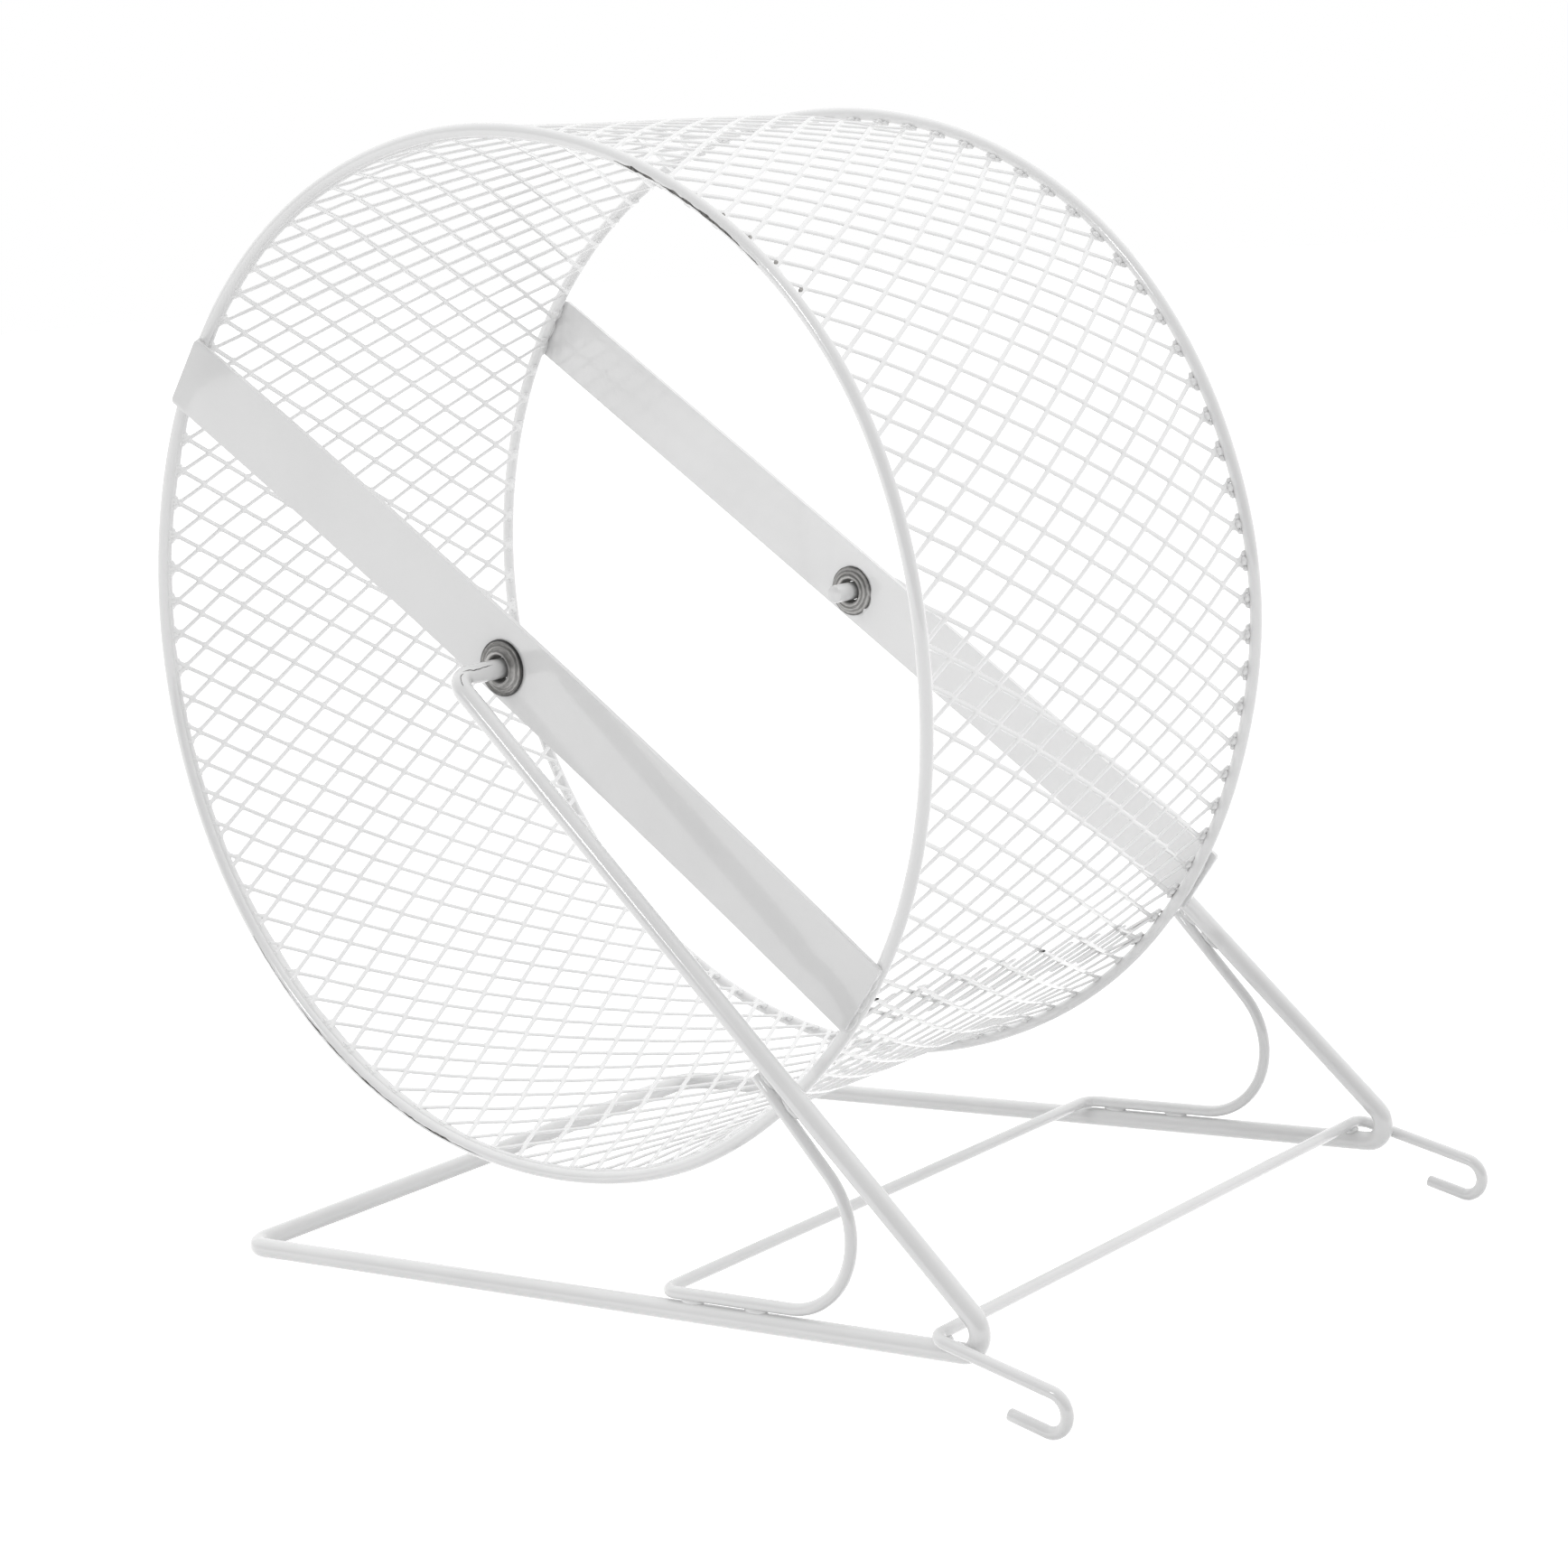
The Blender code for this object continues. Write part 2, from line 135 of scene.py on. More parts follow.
LAP_SKEW = 6.7 * MM
LAP_GAP = 0.15 * MM
LAP_EASE = 14.0 * MM
STRAND_PROFILE = ((0.0, 1.0), (0.60, 0.93), (1.0, 0.35), (1.0, -0.35), (0.60, -0.93), (0.0, -1.0))
WAVE_LENGTH = 23.0 * MM
WAVE_HEIGHT = 0.22 * MM
SWAY_SEED = Vector((7.1, 0, 3.3))
SWELL_SEED = Vector((0, 5.2, 9.7))
SWELL_FINENESS = 0.8

# The crossbars as they are in the photograph: their width, how far each end reaches, and the bow
FRONT_BAR = (15.2 * MM, (99.8 * MM, 98.0 * MM), (1.7 * MM, 0.45 * MM, -1.8 * MM))
BACK_BAR = (14.1 * MM, (98.6 * MM, 100.4 * MM), (1.46 * MM, 0.15 * MM, -0.10 * MM))
BAR_END_SKEW = 0.035
BAR_END_SKEW_POWER = 8
BAR_CORNER_RADIUS = 0.9 * MM
BAR_EDGE_EASE = 0.22 * MM

# The eyelets' section. Each point is a distance in mm, and a height in mm or as a share of the whole
LIP_FROM_RIM = (
    (0.10, 0.0), (0.0, 0.14), (0.03, 0.40), (0.20, 0.56), (0.44, 0.58), (0.60, 0.46), (0.72, 0.30),
    (0.86, 0.34), (1.00, 0.62), (1.20, 0.78), (1.40, 0.76), (1.52, 0.62), (1.64, 0.66), (1.78, 0.96),
)
CROWN_FROM_RIM = ((1.98, 0.90), (2.22, 1.0), (2.48, 0.95))
CROWN_FROM_BORE = ((0.42, 0.84), (0.20, 0.64), (0.05, 0.36))
CLINCH_FROM_BORE = (
    (0.06, 0.45), (0.24, 0.76), (0.50, 0.94), (0.80, 1.0), (1.06, 0.92), (1.20, 0.74),
    (1.32, 0.72), (1.46, 0.84), (1.70, 0.82), (1.96, 0.62), (2.30, 0.40),
)
CLINCH_FROM_EDGE = ((0.25, 0.30), (0.0, 0.14), (0.10, 0.0))
EYELET_SEAT = 0.02 * MM
THROAT_FOOT = 0.10 * MM
WAIST_DEPTH = 0.25 * MM
EYELET_WAIST_RADIUS = STAND_WIRE_RADIUS + 0.12 * MM
CLINCH_RING_RADIUS = 5.2 * MM
CLINCH_RAGGED = 0.08 * MM
CLINCH_RAGGED_FINENESS = 5

# Smooth bumps by which the hand-made wheel strays from true, each with its middle in degrees about the
# axle, its height in mm and its reach to each side in degrees
ROW_STRAYS = ((18, -0.35, 38), (32, 0.35, 30), (64, 0.3, 18), (118, 0.3, 18), (168, -0.35, 26))
CELL_STRAYS = ((55, -0.45, 28), (122, 0.4, 24), (148, 0.45, 34), (238, -0.65, 38))
SQUASHED_ROW_STRAYS = ((358, 2.5, 38), (322, 2.9, 34), (20, 0.9, 22))
SQUASHED_CELL_STRAYS = ((358, -0.2, 38), (318, -1.3, 34))
BARREL_BULGES = ((98, 1.9, 38), (195, 0.4, 55), (288, -1.3, 32))
FRONT_HOOP_BULGES = (
    (358, -1.85, 38), (318, -1.25, 34), (40, 0.35, 26), (80, -0.35, 18),
    (130, 0.9, 34), (188, -0.75, 40), (243, 0.65, 32),
)
BACK_HOOP_BULGES = (
    (28, 0.75, 50), (52, 0.45, 34), (0, 0.5, 20), (88, -0.25, 24),
    (128, 0.3, 22), (175, -0.2, 26), (290, -0.6, 26),
)
CLINCH_CHIPS = ((306, -0.5, 9), (322, 0.16, 14), (352, -0.2, 10), (70, 0.08, 30), (160, -0.1, 25))
FILLET_WEBS = ((232, 0.85, 50),)

# The hoops with their coat
COATED_HOOP_RADIUS = 2.5 * MM / 2
COATED_HOOP_CENTRE = HOOP_OUTER_RADIUS - COATED_HOOP_RADIUS

# Beads of weld and lumps of coat: where they sit, and their half lengths in three directions
BEAD_ROUGHNESS = 0.12
BEAD_LUMPS = 2.3
BEAD_VARIETY = 400
RAIL_WELD_HEIGHT = STAND_WIRE_RADIUS + SEAT_GAP / 2 - AXLE_ABOVE_RAILS
BRACE_WELD_PLACES = (7.0 * MM, 22.0 * MM)
BRACE_WELD_SIZE = (2.6 * MM, 0.9 * MM, 0.75 * MM)
HOOK_WELD_SIZE = (1.4 * MM, 1.7 * MM, 0.8 * MM)
LEG_WELD_PLACES = (2.2 * MM, 9.0 * MM)
LEG_WELD_SIZE = (2.6 * MM, 0.95 * MM, 0.75 * MM)
BAR_WELD_PLACES = (-4.9 * MM, -0.4 * MM, 4.3 * MM)
BAR_WELD_SIZE = (2.5 * MM, 1.15 * MM, 0.75 * MM)
BAR_WELD_INSET = 0.2 * MM
BAR_WELD_SINK = 0.35 * MM
RIM_WELD_INSET = 0.4 * MM
RIM_WELD_LIFT = 0.25 * MM
RIM_WELD_SIZE = (0.16 * MM, 0.85 * MM, 0.44 * MM)
RIM_WELD_CHANGE = 0.3
RIM_WELD_VARIETY = 700
FOOT_SPREAD = 2.9 * MM
WEB_INSET = 0.7 * MM
WEB_LIFT = 0.35 * MM
WEB_SHARE_OF_GAP = 0.3
WEB_SIZE = (0.1 * MM, 0.95 * MM, 0.62 * MM)
FILLET_MIDDLE = 0.60 * MM
FILLET_HALF_DEPTH = 0.55 * MM
FILLET_SINK = 0.08 * MM
FILLET_HALF_HEIGHT = 0.34 * MM
FILLET_CHANGE = 0.25
FILLET_FINENESS = 26

# Grey marks where cut strands meet the hoops: from the first angle to the second, in degrees about the axle
MARK_VARIETY = (140, 30)
FAR_MARK_RANGE = (300, 62)
FAR_MARK_GROWTH = (0.85, 0.5)
FAR_MARK_CHANCE = -0.2
FAR_MARK_OFFSET = (0.2 * MM, -0.50 * MM, 0.85 * MM)
FAR_MARK_SIZE = (0.75 * MM, 0.26 * MM, 0.28 * MM)
FAR_MARK_ROUGHNESS = 0.3
NEAR_MARK_RANGE = (38, 77)
NEAR_MARK_BOND_WIDTH = 1.2 * MM
NEAR_MARK_OFFSET = (2.9 * MM, 5.1 * MM, 0.22 * MM)
NEAR_MARK_SIZE = (0.90 * MM, 0.40 * MM, 0.26 * MM)
NEAR_MARK_ROUGHNESS = 0.25

# Dark lines on the coat: start and end (degrees on the hoop, mm along the stand wire), the side that each
# leans to, by how many degrees at its start and end, its width in mm and a seed. On the near hoop they
# are painted shade and dark reflection; the stand wire's coat is cracked in hairlines where it was bent
# hardest
HOOP_SHADE_LINES = (
    (49, 68.5, -UP, (42, 42), 0.90, 1.0),
    (46, 52, -UP, (48, 48), 0.20, 2.0),
    (225, 260, -UP, (39, 39), 0.40, 4.0),
    (216, 226, -UP, (46, 46), 0.18, 5.0),
)
STAND_CRACKS = (
    (10.4, 18.9, UP, (30, 14), 0.19, 6.0),
    (18.8, 22.0, RIGHT, (-4, 16), 0.17, 7.0),
)
DARK_LINE_LIFT = 0.02 * MM
DARK_LINE_WANDER = math.radians(7.0)
DARK_LINE_FINENESS = (900, 420)
DARK_LINE_BREADTH = (0.62, 0.9)
DARK_LINE_TAPER = 6

# Camera, as the photograph was taken
CAMERA_AZIMUTH = math.radians(-40.0)
CAMERA_ELEVATION = math.radians(10.1128)
CAMERA_ROLL = math.radians(-4.122)
CAMERA_DISTANCE = 651.6 * MM
CAMERA_TARGET = (4.834 * MM, 0, 90.239 * MM)
CAMERA_LENS = 76.2138
CAMERA_SENSOR = 36.0

# Light levels. The tent's ranges say where a level starts and ends: -1 is before the object, 1 behind
TENT_BRIGHT = 1.30
TENT_FRONT = 0.60
TENT_FRONT_RANGE = (-0.80, 0.05)
TENT_BACK = 0.78
TENT_BACK_RANGE = (0.20, 0.90)
TENT_REFLECTED_FRONT = 0.10
TENT_REFLECTED_RANGE = (-0.75, 0.25)
TENT_DIM_SIDE = (-0.10, -0.42, 0.0)
FLOOR_HALF_SIZE = 6.0
FLOOR_SHADE = 0.66
FLOOR_ROUGHNESS = 0.9
FLOOR_GLOW = 0.80
SOFTBOX_AIM = (0.01, 0, 0.09)
SOFTBOX_DIRECTION = (-0.136, -0.902, 0.405)
SOFTBOX_DISTANCE = 1.2
SOFTBOX_SIZE = 0.16
SOFTBOX_POWER = 1.3

# Finishes. Names come with greys, spots with their scale and detail, bumps with their strength and
# distance, and a ramp's tones with their positions; a tint is over the three colours
# Painted light and shade: copies of one white coat, lighter for far parts, near hoop, sheet; darker near
# bar
COATS = (
    ("powder_coat", 0.82), ("bar_powder_coat", 0.79), ("far_lit_powder_coat", 0.90),
    ("sheet_powder_coat", 0.94), ("stand_powder_coat", 0.82), ("hoop_powder_coat", 0.88),
)
# The first steel draws crack lines and the near hoop's lines of painted shade; the second the rim marks
STEELS = (("dark_steel", 0.035, 0.22), ("grey_mark_steel", 0.26, 0.52))
WHITE = (1, 1, 1, 1)
NEUTRAL = (1, 1, 1)
COAT_CHANGE = (38.0, 3.0)
COAT_PEEL = (1400.0, 2.0)
COAT_PEEL_BUMP = (0.10, 0.05 * MM)
COAT_TONE_RANGE = (0.3, 0.7)
COAT_DULL_SHARE = 0.95
COAT_ROUGHNESS = (0.13, 0.19)
CLEAR_WEIGHT = 0.8
CLEAR_ROUGHNESS = 0.07
PIN_DARK_RADII = (3.0 * MM, 2.6 * MM)
PIN_DARK_STRENGTH = 1.1
PIN_DARK_START = (EYELET_MOUTH - 5.0 * MM, EYELET_MOUTH - 3.5 * MM)
PIN_DARK_END = (EYELET_MOUTH + 1.9 * MM, EYELET_MOUTH - 0.9 * MM)
PIN_DARK_SPOTS = (600.0, 2.0)
PIN_DARK_TONE = 0.22
NICKEL_METALLIC = 0.55
NICKEL_HAZE = (900.0, 4.0)
NICKEL_HAZE_BUMP = (0.08, 0.03 * MM)
NICKEL_WANDER = 0.5 * MM
NICKEL_RINGS = (EYELET_BORE_RADIUS + 0.2 * MM, EYELET_RIM_RADIUS + 0.25 * MM)
NICKEL_TINT = (1, 0.985, 0.96)
# Ring tones: dark ones painted shade and grime in grooves and at the rim, light ones painted highlights
NICKEL_SHADE_GRIME_AND_HIGHLIGHT_TONES = (
    (0.0, 0.42), (0.08, 0.10), (0.17, 0.58), (0.28, 0.50), (0.37, 0.07), (0.45, 0.50),
    (0.57, 0.42), (0.66, 0.06), (0.74, 0.56), (0.84, 0.26), (0.93, 0.06),
)
NICKEL_RIM_SHADE_TONE = 0.04
NICKEL_ROUGHNESS = (0.32, 0.50)
THROAT_GRIME = (EYELET_BORE_RADIUS + 0.1 * MM, EYELET_BORE_RADIUS + 0.5 * MM)
THROAT_ROUGHNESS = (0.7, 0.3)
STEEL_STAIN = (1500.0, 3.0)
STEEL_TONE_RANGE = (0.35, 0.70)
STEEL_DARK_TINT = (1, 0.98, 0.95)
STEEL_LIGHT_TINT = (1, 0.97, 0.93)
STEEL_METALLIC = 0.4
STEEL_ROUGHNESS = 0.6

# How finely things are drawn
SMOOTH_ANGLE = math.radians(42.0)
BAR_SMOOTH_ANGLE = math.radians(60)
EYELET_SMOOTH_ANGLE = math.radians(50)
WIRE_SIDES = 24
HOOP_SIDES = 24
BEND_STEP = math.radians(5.0)
LONGEST_RUN = 6.0 * MM
CUT_END_EASE = 0.22
CUT_END_KNEE = 0.3
HOOP_STEPS = 288
BAR_CORNER_STEPS = 6
BAR_EDGE_PARTS = 24
BAR_HOLE_STEPS = 48
EYELET_STEPS = 144
FILLET_SIDES = 12
FILLET_STEPS = 720
ARC_STEPS_PER_DEGREE = 2
STRETCH_STEP = 0.25 * MM


# How the stand lies on the floor, as in the solids
FORWARD = Vector((math.cos(HOOK_ARM_SLOPE), 0, -math.sin(HOOK_ARM_SLOPE)))
DOWNWARD = Vector((-math.sin(HOOK_ARM_SLOPE), 0, -math.cos(HOOK_ARM_SLOPE)))


def curl_centre():
    """The middle of a hook's curl, seen from the side, on the stand's own axes."""
    return Vector((HOOK_CROSSRUN_X, 0, ON_RAIL_Z)) + FORWARD * HOOK_ARM_LENGTH + DOWNWARD * HOOK_CURL_RADIUS


def resting_tilt():
    curl = curl_centre()
    run = curl.x + REAR_REACH
    drop = -AXLE_ABOVE_RAILS - curl.z
    radius_difference = HOOK_CURL_RADIUS + THIN_WIRE_RADIUS - STAND_WIRE_RADIUS
    return math.atan2(drop, run) + math.asin(radius_difference / math.hypot(run, drop))


TILT = resting_tilt()
TILT_MATRIX = Matrix.Rotation(-TILT, 4, "Y")


def axle_place():
    rear = TILT_MATRIX @ Vector((-REAR_REACH, 0, -AXLE_ABOVE_RAILS))
    hook_tip = (TILT_MATRIX @ curl_centre()).x + HOOK_CURL_RADIUS + THIN_WIRE_RADIUS
    return Vector(((HOOP_OUTER_RADIUS - hook_tip) / 2, 0, STAND_WIRE_RADIUS - rear.z))


AXLE = axle_place()
STAND_TO_WORLD = Matrix.Translation(AXLE) @ TILT_MATRIX
WHEEL_TO_WORLD = Matrix.Translation(AXLE)


# Pieces
def add_object(name, data):
    made = bpy.data.objects.new(name, data)
    bpy.context.scene.collection.objects.link(made)
    return made


def add_mesh(name, bm, material):
    mesh = bpy.data.meshes.new(name)
    bm.to_mesh(mesh)
    bm.free()
    mesh.materials.append(material)
    return add_object(name, mesh)


def add_piece(
    name, bm, material, node=None, body="wheel", place=WHEEL_TO_WORLD, sharp=SMOOTH_ANGLE
):
    """Turns a drawn mesh into a piece that rides on a body and may stand for one of its solids."""
    bm.transform(place)
    bmesh.ops.recalc_face_normals(bm, faces=bm.faces)
    piece = add_mesh(name, bm, material)
    piece.data.shade_smooth()
    piece.data.set_sharp_from_angle(angle=sharp)
    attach(piece, body)
    if node:
        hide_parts(node)


# Bent wires
def rounded_path(corners, radii):
    """Points along straight runs through the corners, each corner rounded with its own radius."""
    points = [Vector(corners[0])]
    for before, corner, after, radius in zip(corners, corners[1:], corners[2:], radii):
        corner = Vector(corner)
        back = (Vector(before) - corner).normalized()
        ahead = (Vector(after) - corner).normalized()
        half_angle = back.angle(ahead) / 2
        bisector = (back + ahead).normalized()
        centre = corner + bisector * (radius / math.sin(half_angle))
        turn = math.pi - 2 * half_angle
        steps = max(2, round(turn / BEND_STEP))
        across = (back - bisector * math.cos(half_angle)).normalized()
        for step in range(steps + 1):
            angle = turn * (step / steps - 0.5)
            outward = -bisector * math.cos(angle) - across * math.sin(angle)
            points.append(centre + outward * radius)
    points.append(Vector(corners[-1]))
    return points


def mirrored(vector, side):
    """The vector itself for the far side, 1, and its mirror image for the near side, -1."""
    return Vector((vector.x, side * vector.y, vector.z))


def mirrored_path(half):
    return [mirrored(point, -1) for point in reversed(half)] + half


def stand_path():
    """From one inturned pin down its leg, back along the rail, across the rear and up to the other pin."""
    corners = [
        (-REAR_REACH, 0, -AXLE_ABOVE_RAILS),
        (-REAR_REACH, RAIL_Y, -AXLE_ABOVE_RAILS),
        (FOOT_REACH, RAIL_Y, -AXLE_ABOVE_RAILS),
        (0, LEG_TOP_Y, 0),
        (0, CROSSBAR_INNER_FACE - STUB_INSET, 0),
    ]
    half = rounded_path(corners, [REAR_BEND_RADIUS, FOOT_BEND_RADIUS, AXLE_BEND_RADIUS])
    return mirrored_path(half[1:])


def brace_corners():
    """The direction of the leg, the direction down from it, and the brace's crook and end."""
    leg = Vector((FOOT_REACH, RAIL_Y - LEG_TOP_Y, -AXLE_ABOVE_RAILS)).normalized()
    leg_top = Vector((0, LEG_TOP_Y, 0))
    under_leg = (leg * RIGHT.dot(leg) - RIGHT).normalized()
    end = leg_top + leg * BRACE_ALONG_LEG + under_leg * WELD_OFFSET
    away = leg * math.cos(BRACE_LEAN) + under_leg * math.sin(BRACE_LEAN)
    crook = end + away * ((ON_RAIL_Z - end.z) / away.z)
    return leg, under_leg, crook, end


def brace_path():
    """Across the rails, along their tops, round both crooks and up under the legs."""
    leg, under_leg, crook, end = brace_corners()
    corners = [(BRACE_CROSSRUN_X, 0, ON_RAIL_Z), (BRACE_CROSSRUN_X, RAIL_Y, ON_RAIL_Z), crook, end]
    half = rounded_path(corners, [BRACE_BEND_RADIUS, BRACE_CURVE_RADIUS])
    return mirrored_path(half[1:])


def hook_path():
    """Across the rails at the feet, out past them and round both hooks."""
    arm_y = RAIL_Y + WELD_OFFSET
    start = Vector((HOOK_CROSSRUN_X, arm_y, ON_RAIL_Z))
    arm_end = start + FORWARD * HOOK_ARM_LENGTH
    half = rounded_path([(HOOK_CROSSRUN_X, 0, ON_RAIL_Z), start, arm_end], [HOOK_BEND_RADIUS])
    centre = arm_end + DOWNWARD * HOOK_CURL_RADIUS
    steps = round(math.pi / BEND_STEP)
    for step in range(1, steps + 1):
        angle = math.pi * step / steps
        outward = FORWARD * math.sin(angle) - DOWNWARD * math.cos(angle)
        half.append(centre + outward * HOOK_CURL_RADIUS)
    half.append(half[-1] - FORWARD * HOOK_RETURN_LENGTH)
    return mirrored_path(half[1:])


def resampled(points, longest):
    """The same path with no straight run longer than the given length."""
    result = [points[0]]
    for a, b in zip(points, points[1:]):
        parts = max(1, math.ceil((b - a).length / longest))
        for part in range(1, parts + 1):
            result.append(a.lerp(b, part / parts))
    return result


def headings(points):
    """The direction of a path at each of its points."""
    pairs = zip(points[:1] + points, points[1:] + points[-1:])
    return [(after - before).normalized() for before, after in pairs]


def tube_frames(points):
    """At each point the two directions across the path, carried along without twisting."""
    frames = []
    across = None
    for along in headings(points):
        if across is None:
            across = along.cross(UP if abs(along.z) < 0.9 else RIGHT).normalized()
        across = (across - along * across.dot(along)).normalized()
        frames.append((across, along.cross(across)))
    return frames

def on_circle(angle, radius, along=0):
    """The place at an angle about the axle, a distance from it and a distance along it."""
    return Vector((radius * math.cos(angle), along, radius * math.sin(angle)))


def turns(steps):
    """The angles of so many equal steps once round."""
    return [2 * math.pi * step / steps for step in range(steps)]


def skin(bm, rings, closed=False):
    """Faces from each ring of vertices to the next, and from the last to the first if it is closed."""
    for ring, after in zip(rings, rings[1:] + rings[:1] if closed else rings[1:]):
        for a in range(len(ring)):
            b = (a + 1) % len(ring)
            bm.faces.new((ring[a], ring[b], after[b], after[a]))


def draw_tube(bm, points, radius):
    """A round wire with square-cut ends, their rims eased by the coating."""
    ease = radius * CUT_END_EASE
    knee = ease * CUT_END_KNEE
    first = (points[0] - points[1]).normalized()
    last = (points[-1] - points[-2]).normalized()
    body = [points[0] - first * ease] + points[1:-1] + [points[-1] - last * ease]
    frames = tube_frames(body)
    places = [points[0], points[0] - first * knee] + body + [points[-1] - last * knee, points[-1]]
    frames = frames[:1] * 2 + frames + frames[-1:] * 2
    reaches = [radius - ease, radius - knee] + [radius] * len(body) + [radius - knee, radius - ease]
    rings = []
    for place, (across, upward), reach in zip(places, frames, reaches):
        outward = [across * math.cos(turn) + upward * math.sin(turn) for turn in turns(WIRE_SIDES)]
        rings.append([bm.verts.new(place + direction * reach) for direction in outward])
    skin(bm, rings)
    bm.faces.new(rings[0])
    bm.faces.new(rings[-1])


def draw_bead(bm, centre, directions, halves, roughness=BEAD_ROUGHNESS, subdivisions=3):
    """A small uneven lump under the coating, with its half lengths in three directions."""
    axes = [direction * half for direction, half in zip(directions, halves)]
    made = bmesh.ops.create_icosphere(bm, subdivisions=subdivisions, radius=1.0)
    for vert in made["verts"]:
        swell = 1 + roughness * noise.noise(vert.co * BEAD_LUMPS + centre * BEAD_VARIETY)
        place = vert.co * swell
        vert.co = centre + axes[0] * place.x + axes[1] * place.y + axes[2] * place.z


def bent_wire(name, path, radius, node, material):
    bm = bmesh.new()
    draw_tube(bm, resampled(path, LONGEST_RUN), radius)
    add_piece(name, bm, material, node, "stand", STAND_TO_WORLD)


def stand_welds(material):
    """Beads where the thin wires touch the thick one."""
    bm = bmesh.new()
    leg, under_leg, crook, end = brace_corners()
    level = (RIGHT, ALONG_AXLE, UP)
    for side in (-1, 1):
        for place in BRACE_WELD_PLACES:
            centre = Vector((BRACE_CROSSRUN_X + place, side * RAIL_Y, RAIL_WELD_HEIGHT))
            draw_bead(bm, centre, level, BRACE_WELD_SIZE)
        draw_bead(bm, Vector((HOOK_CROSSRUN_X, side * RAIL_Y, RAIL_WELD_HEIGHT)), level, HOOK_WELD_SIZE)
        for place in LEG_WELD_PLACES:
            centre = mirrored(end - under_leg * (THIN_WIRE_RADIUS + SEAT_GAP / 2) + leg * place, side)
            along = mirrored(leg, side)
            upward = mirrored(under_leg, side)
            draw_bead(bm, centre, (along, along.cross(upward).normalized(), upward), LEG_WELD_SIZE)
    add_piece("stand_welds", bm, material, None, "stand", STAND_TO_WORLD)


# Round pieces of the wheel
def strays(angle, bumps):
    """The sum of smooth bumps at an angle about the axle."""
    degrees = math.degrees(angle)
    total = 0
    for middle, height, reach in bumps:
        away = abs((degrees - middle + 180) % 360 - 180)
        if away < reach:
            total += height * MM * math.cos(math.pi / 2 * away / reach) ** 2
    return total


def bulge(angle, side):
    """How far a hoop lies outside its true circle at an angle about the axle."""
    return strays(angle, BACK_HOOP_BULGES if side > 0 else FRONT_HOOP_BULGES)


def lathe(bm, profile, steps, shape):
    """Turns a closed profile of (radius, place along the axle) about Y; shape moves each of its points."""
    rings = []
    for angle in turns(steps):
        places = [on_circle(angle, *shape(radius, along, angle)) for radius, along in profile]
        rings.append([bm.verts.new(place) for place in places])
    skin(bm, rings, closed=True)


def ellipse(sides, radius, along, height, length):
    """A profile for the lathe, given by its middle and its half height and length."""
    return [(radius + height * math.cos(turn), along + length * math.sin(turn)) for turn in turns(sides)]


def hoop(name, side, node, material):
    wire = COATED_HOOP_RADIUS
    profile = ellipse(HOOP_SIDES, COATED_HOOP_CENTRE, side * HOOP_PLANE, wire, wire)
    bm = bmesh.new()
    lathe(bm, profile, HOOP_STEPS, lambda radius, along, angle: (radius + bulge(angle, side), along))
    add_piece(name, bm, material, node)


def bar_outline(width, left, right):
    """The rounded outline of a flat strip from -left to right, with its long edges in short parts."""
    inner = width / 2 - BAR_CORNER_RADIUS
    outline = []
    corners = ((right, inner), (-left, inner), (-left, -inner), (right, -inner))
    for quarter, (end, upper) in enumerate(corners):
        middle = end - math.copysign(BAR_CORNER_RADIUS, end)
        for step in range(BAR_CORNER_STEPS + 1):
            turn = math.pi / 2 * (quarter + step / BAR_CORNER_STEPS)
            x = middle + BAR_CORNER_RADIUS * math.cos(turn)
            outline.append((x, upper + BAR_CORNER_RADIUS * math.sin(turn)))
        if quarter % 2 == 0:
            run = (-left if end > 0 else right) - middle
            rim = math.copysign(width / 2, upper)
            outline += [(middle + run * part / BAR_EDGE_PARTS, rim) for part in range(1, BAR_EDGE_PARTS)]
    return outline


def crossbar(name, side, node, material, width, reaches, bow):
    """A flat strip with eased edges and a round hole.

    The reaches are its two half lengths. It is a little bowed: its middle line lies above the hole
    by the first amount in bow, plus the second times the share of the way to an end, plus the third
    times that share squared.
    """
    left, right = reaches
    hole = EYELET_BARREL_RADIUS + SEAT_GAP
    bm = bmesh.new()
    outer = []
    for x, z in bar_outline(width, left, right):
        share = x / (left if x < 0 else right)
        skewed = x + BAR_END_SKEW * z * abs(share) ** BAR_END_SKEW_POWER
        outer.append(bm.verts.new((skewed, 0, z + bow[0] + bow[1] * share + bow[2] * share ** 2)))
    ring = [bm.verts.new(on_circle(angle, hole)) for angle in turns(BAR_HOLE_STEPS)]
    edges = [bm.edges.new(pair) for loop in (outer, ring) for pair in zip(loop, loop[1:] + loop[:1])]
    bmesh.ops.triangle_fill(bm, use_beauty=True, use_dissolve=False, edges=edges)
    lifted = bmesh.ops.extrude_face_region(bm, geom=bm.faces[:])["geom"]
    for vert in [item for item in lifted if isinstance(item, bmesh.types.BMVert)]:
        vert.co.y += CROSSBAR_THICKNESS
    rims = [edge for edge in bm.edges if len(edge.link_faces) == 2 and edge.calc_face_angle(0) > 1.0]
    bmesh.ops.bevel(
        bm, geom=rims, offset=BAR_EDGE_EASE, segments=3, profile=0.5, affect="EDGES", clamp_overlap=True
    )
    low = CROSSBAR_INNER_FACE if side > 0 else -CROSSBAR_OUTER_FACE
    place = WHEEL_TO_WORLD @ Matrix.Rotation(CROSSBAR_ANGLE, 4, "Y") @ Matrix.Translation((0, low, 0))
    add_piece(name, bm, material, node, place=place, sharp=BAR_SMOOTH_ANGLE)


def directions_at(angle):
    """The directions along a hoop, along the axle and out from the axle, at an angle about it."""
    return Vector((-math.sin(angle), 0, math.cos(angle))), ALONG_AXLE, on_circle(angle, 1)


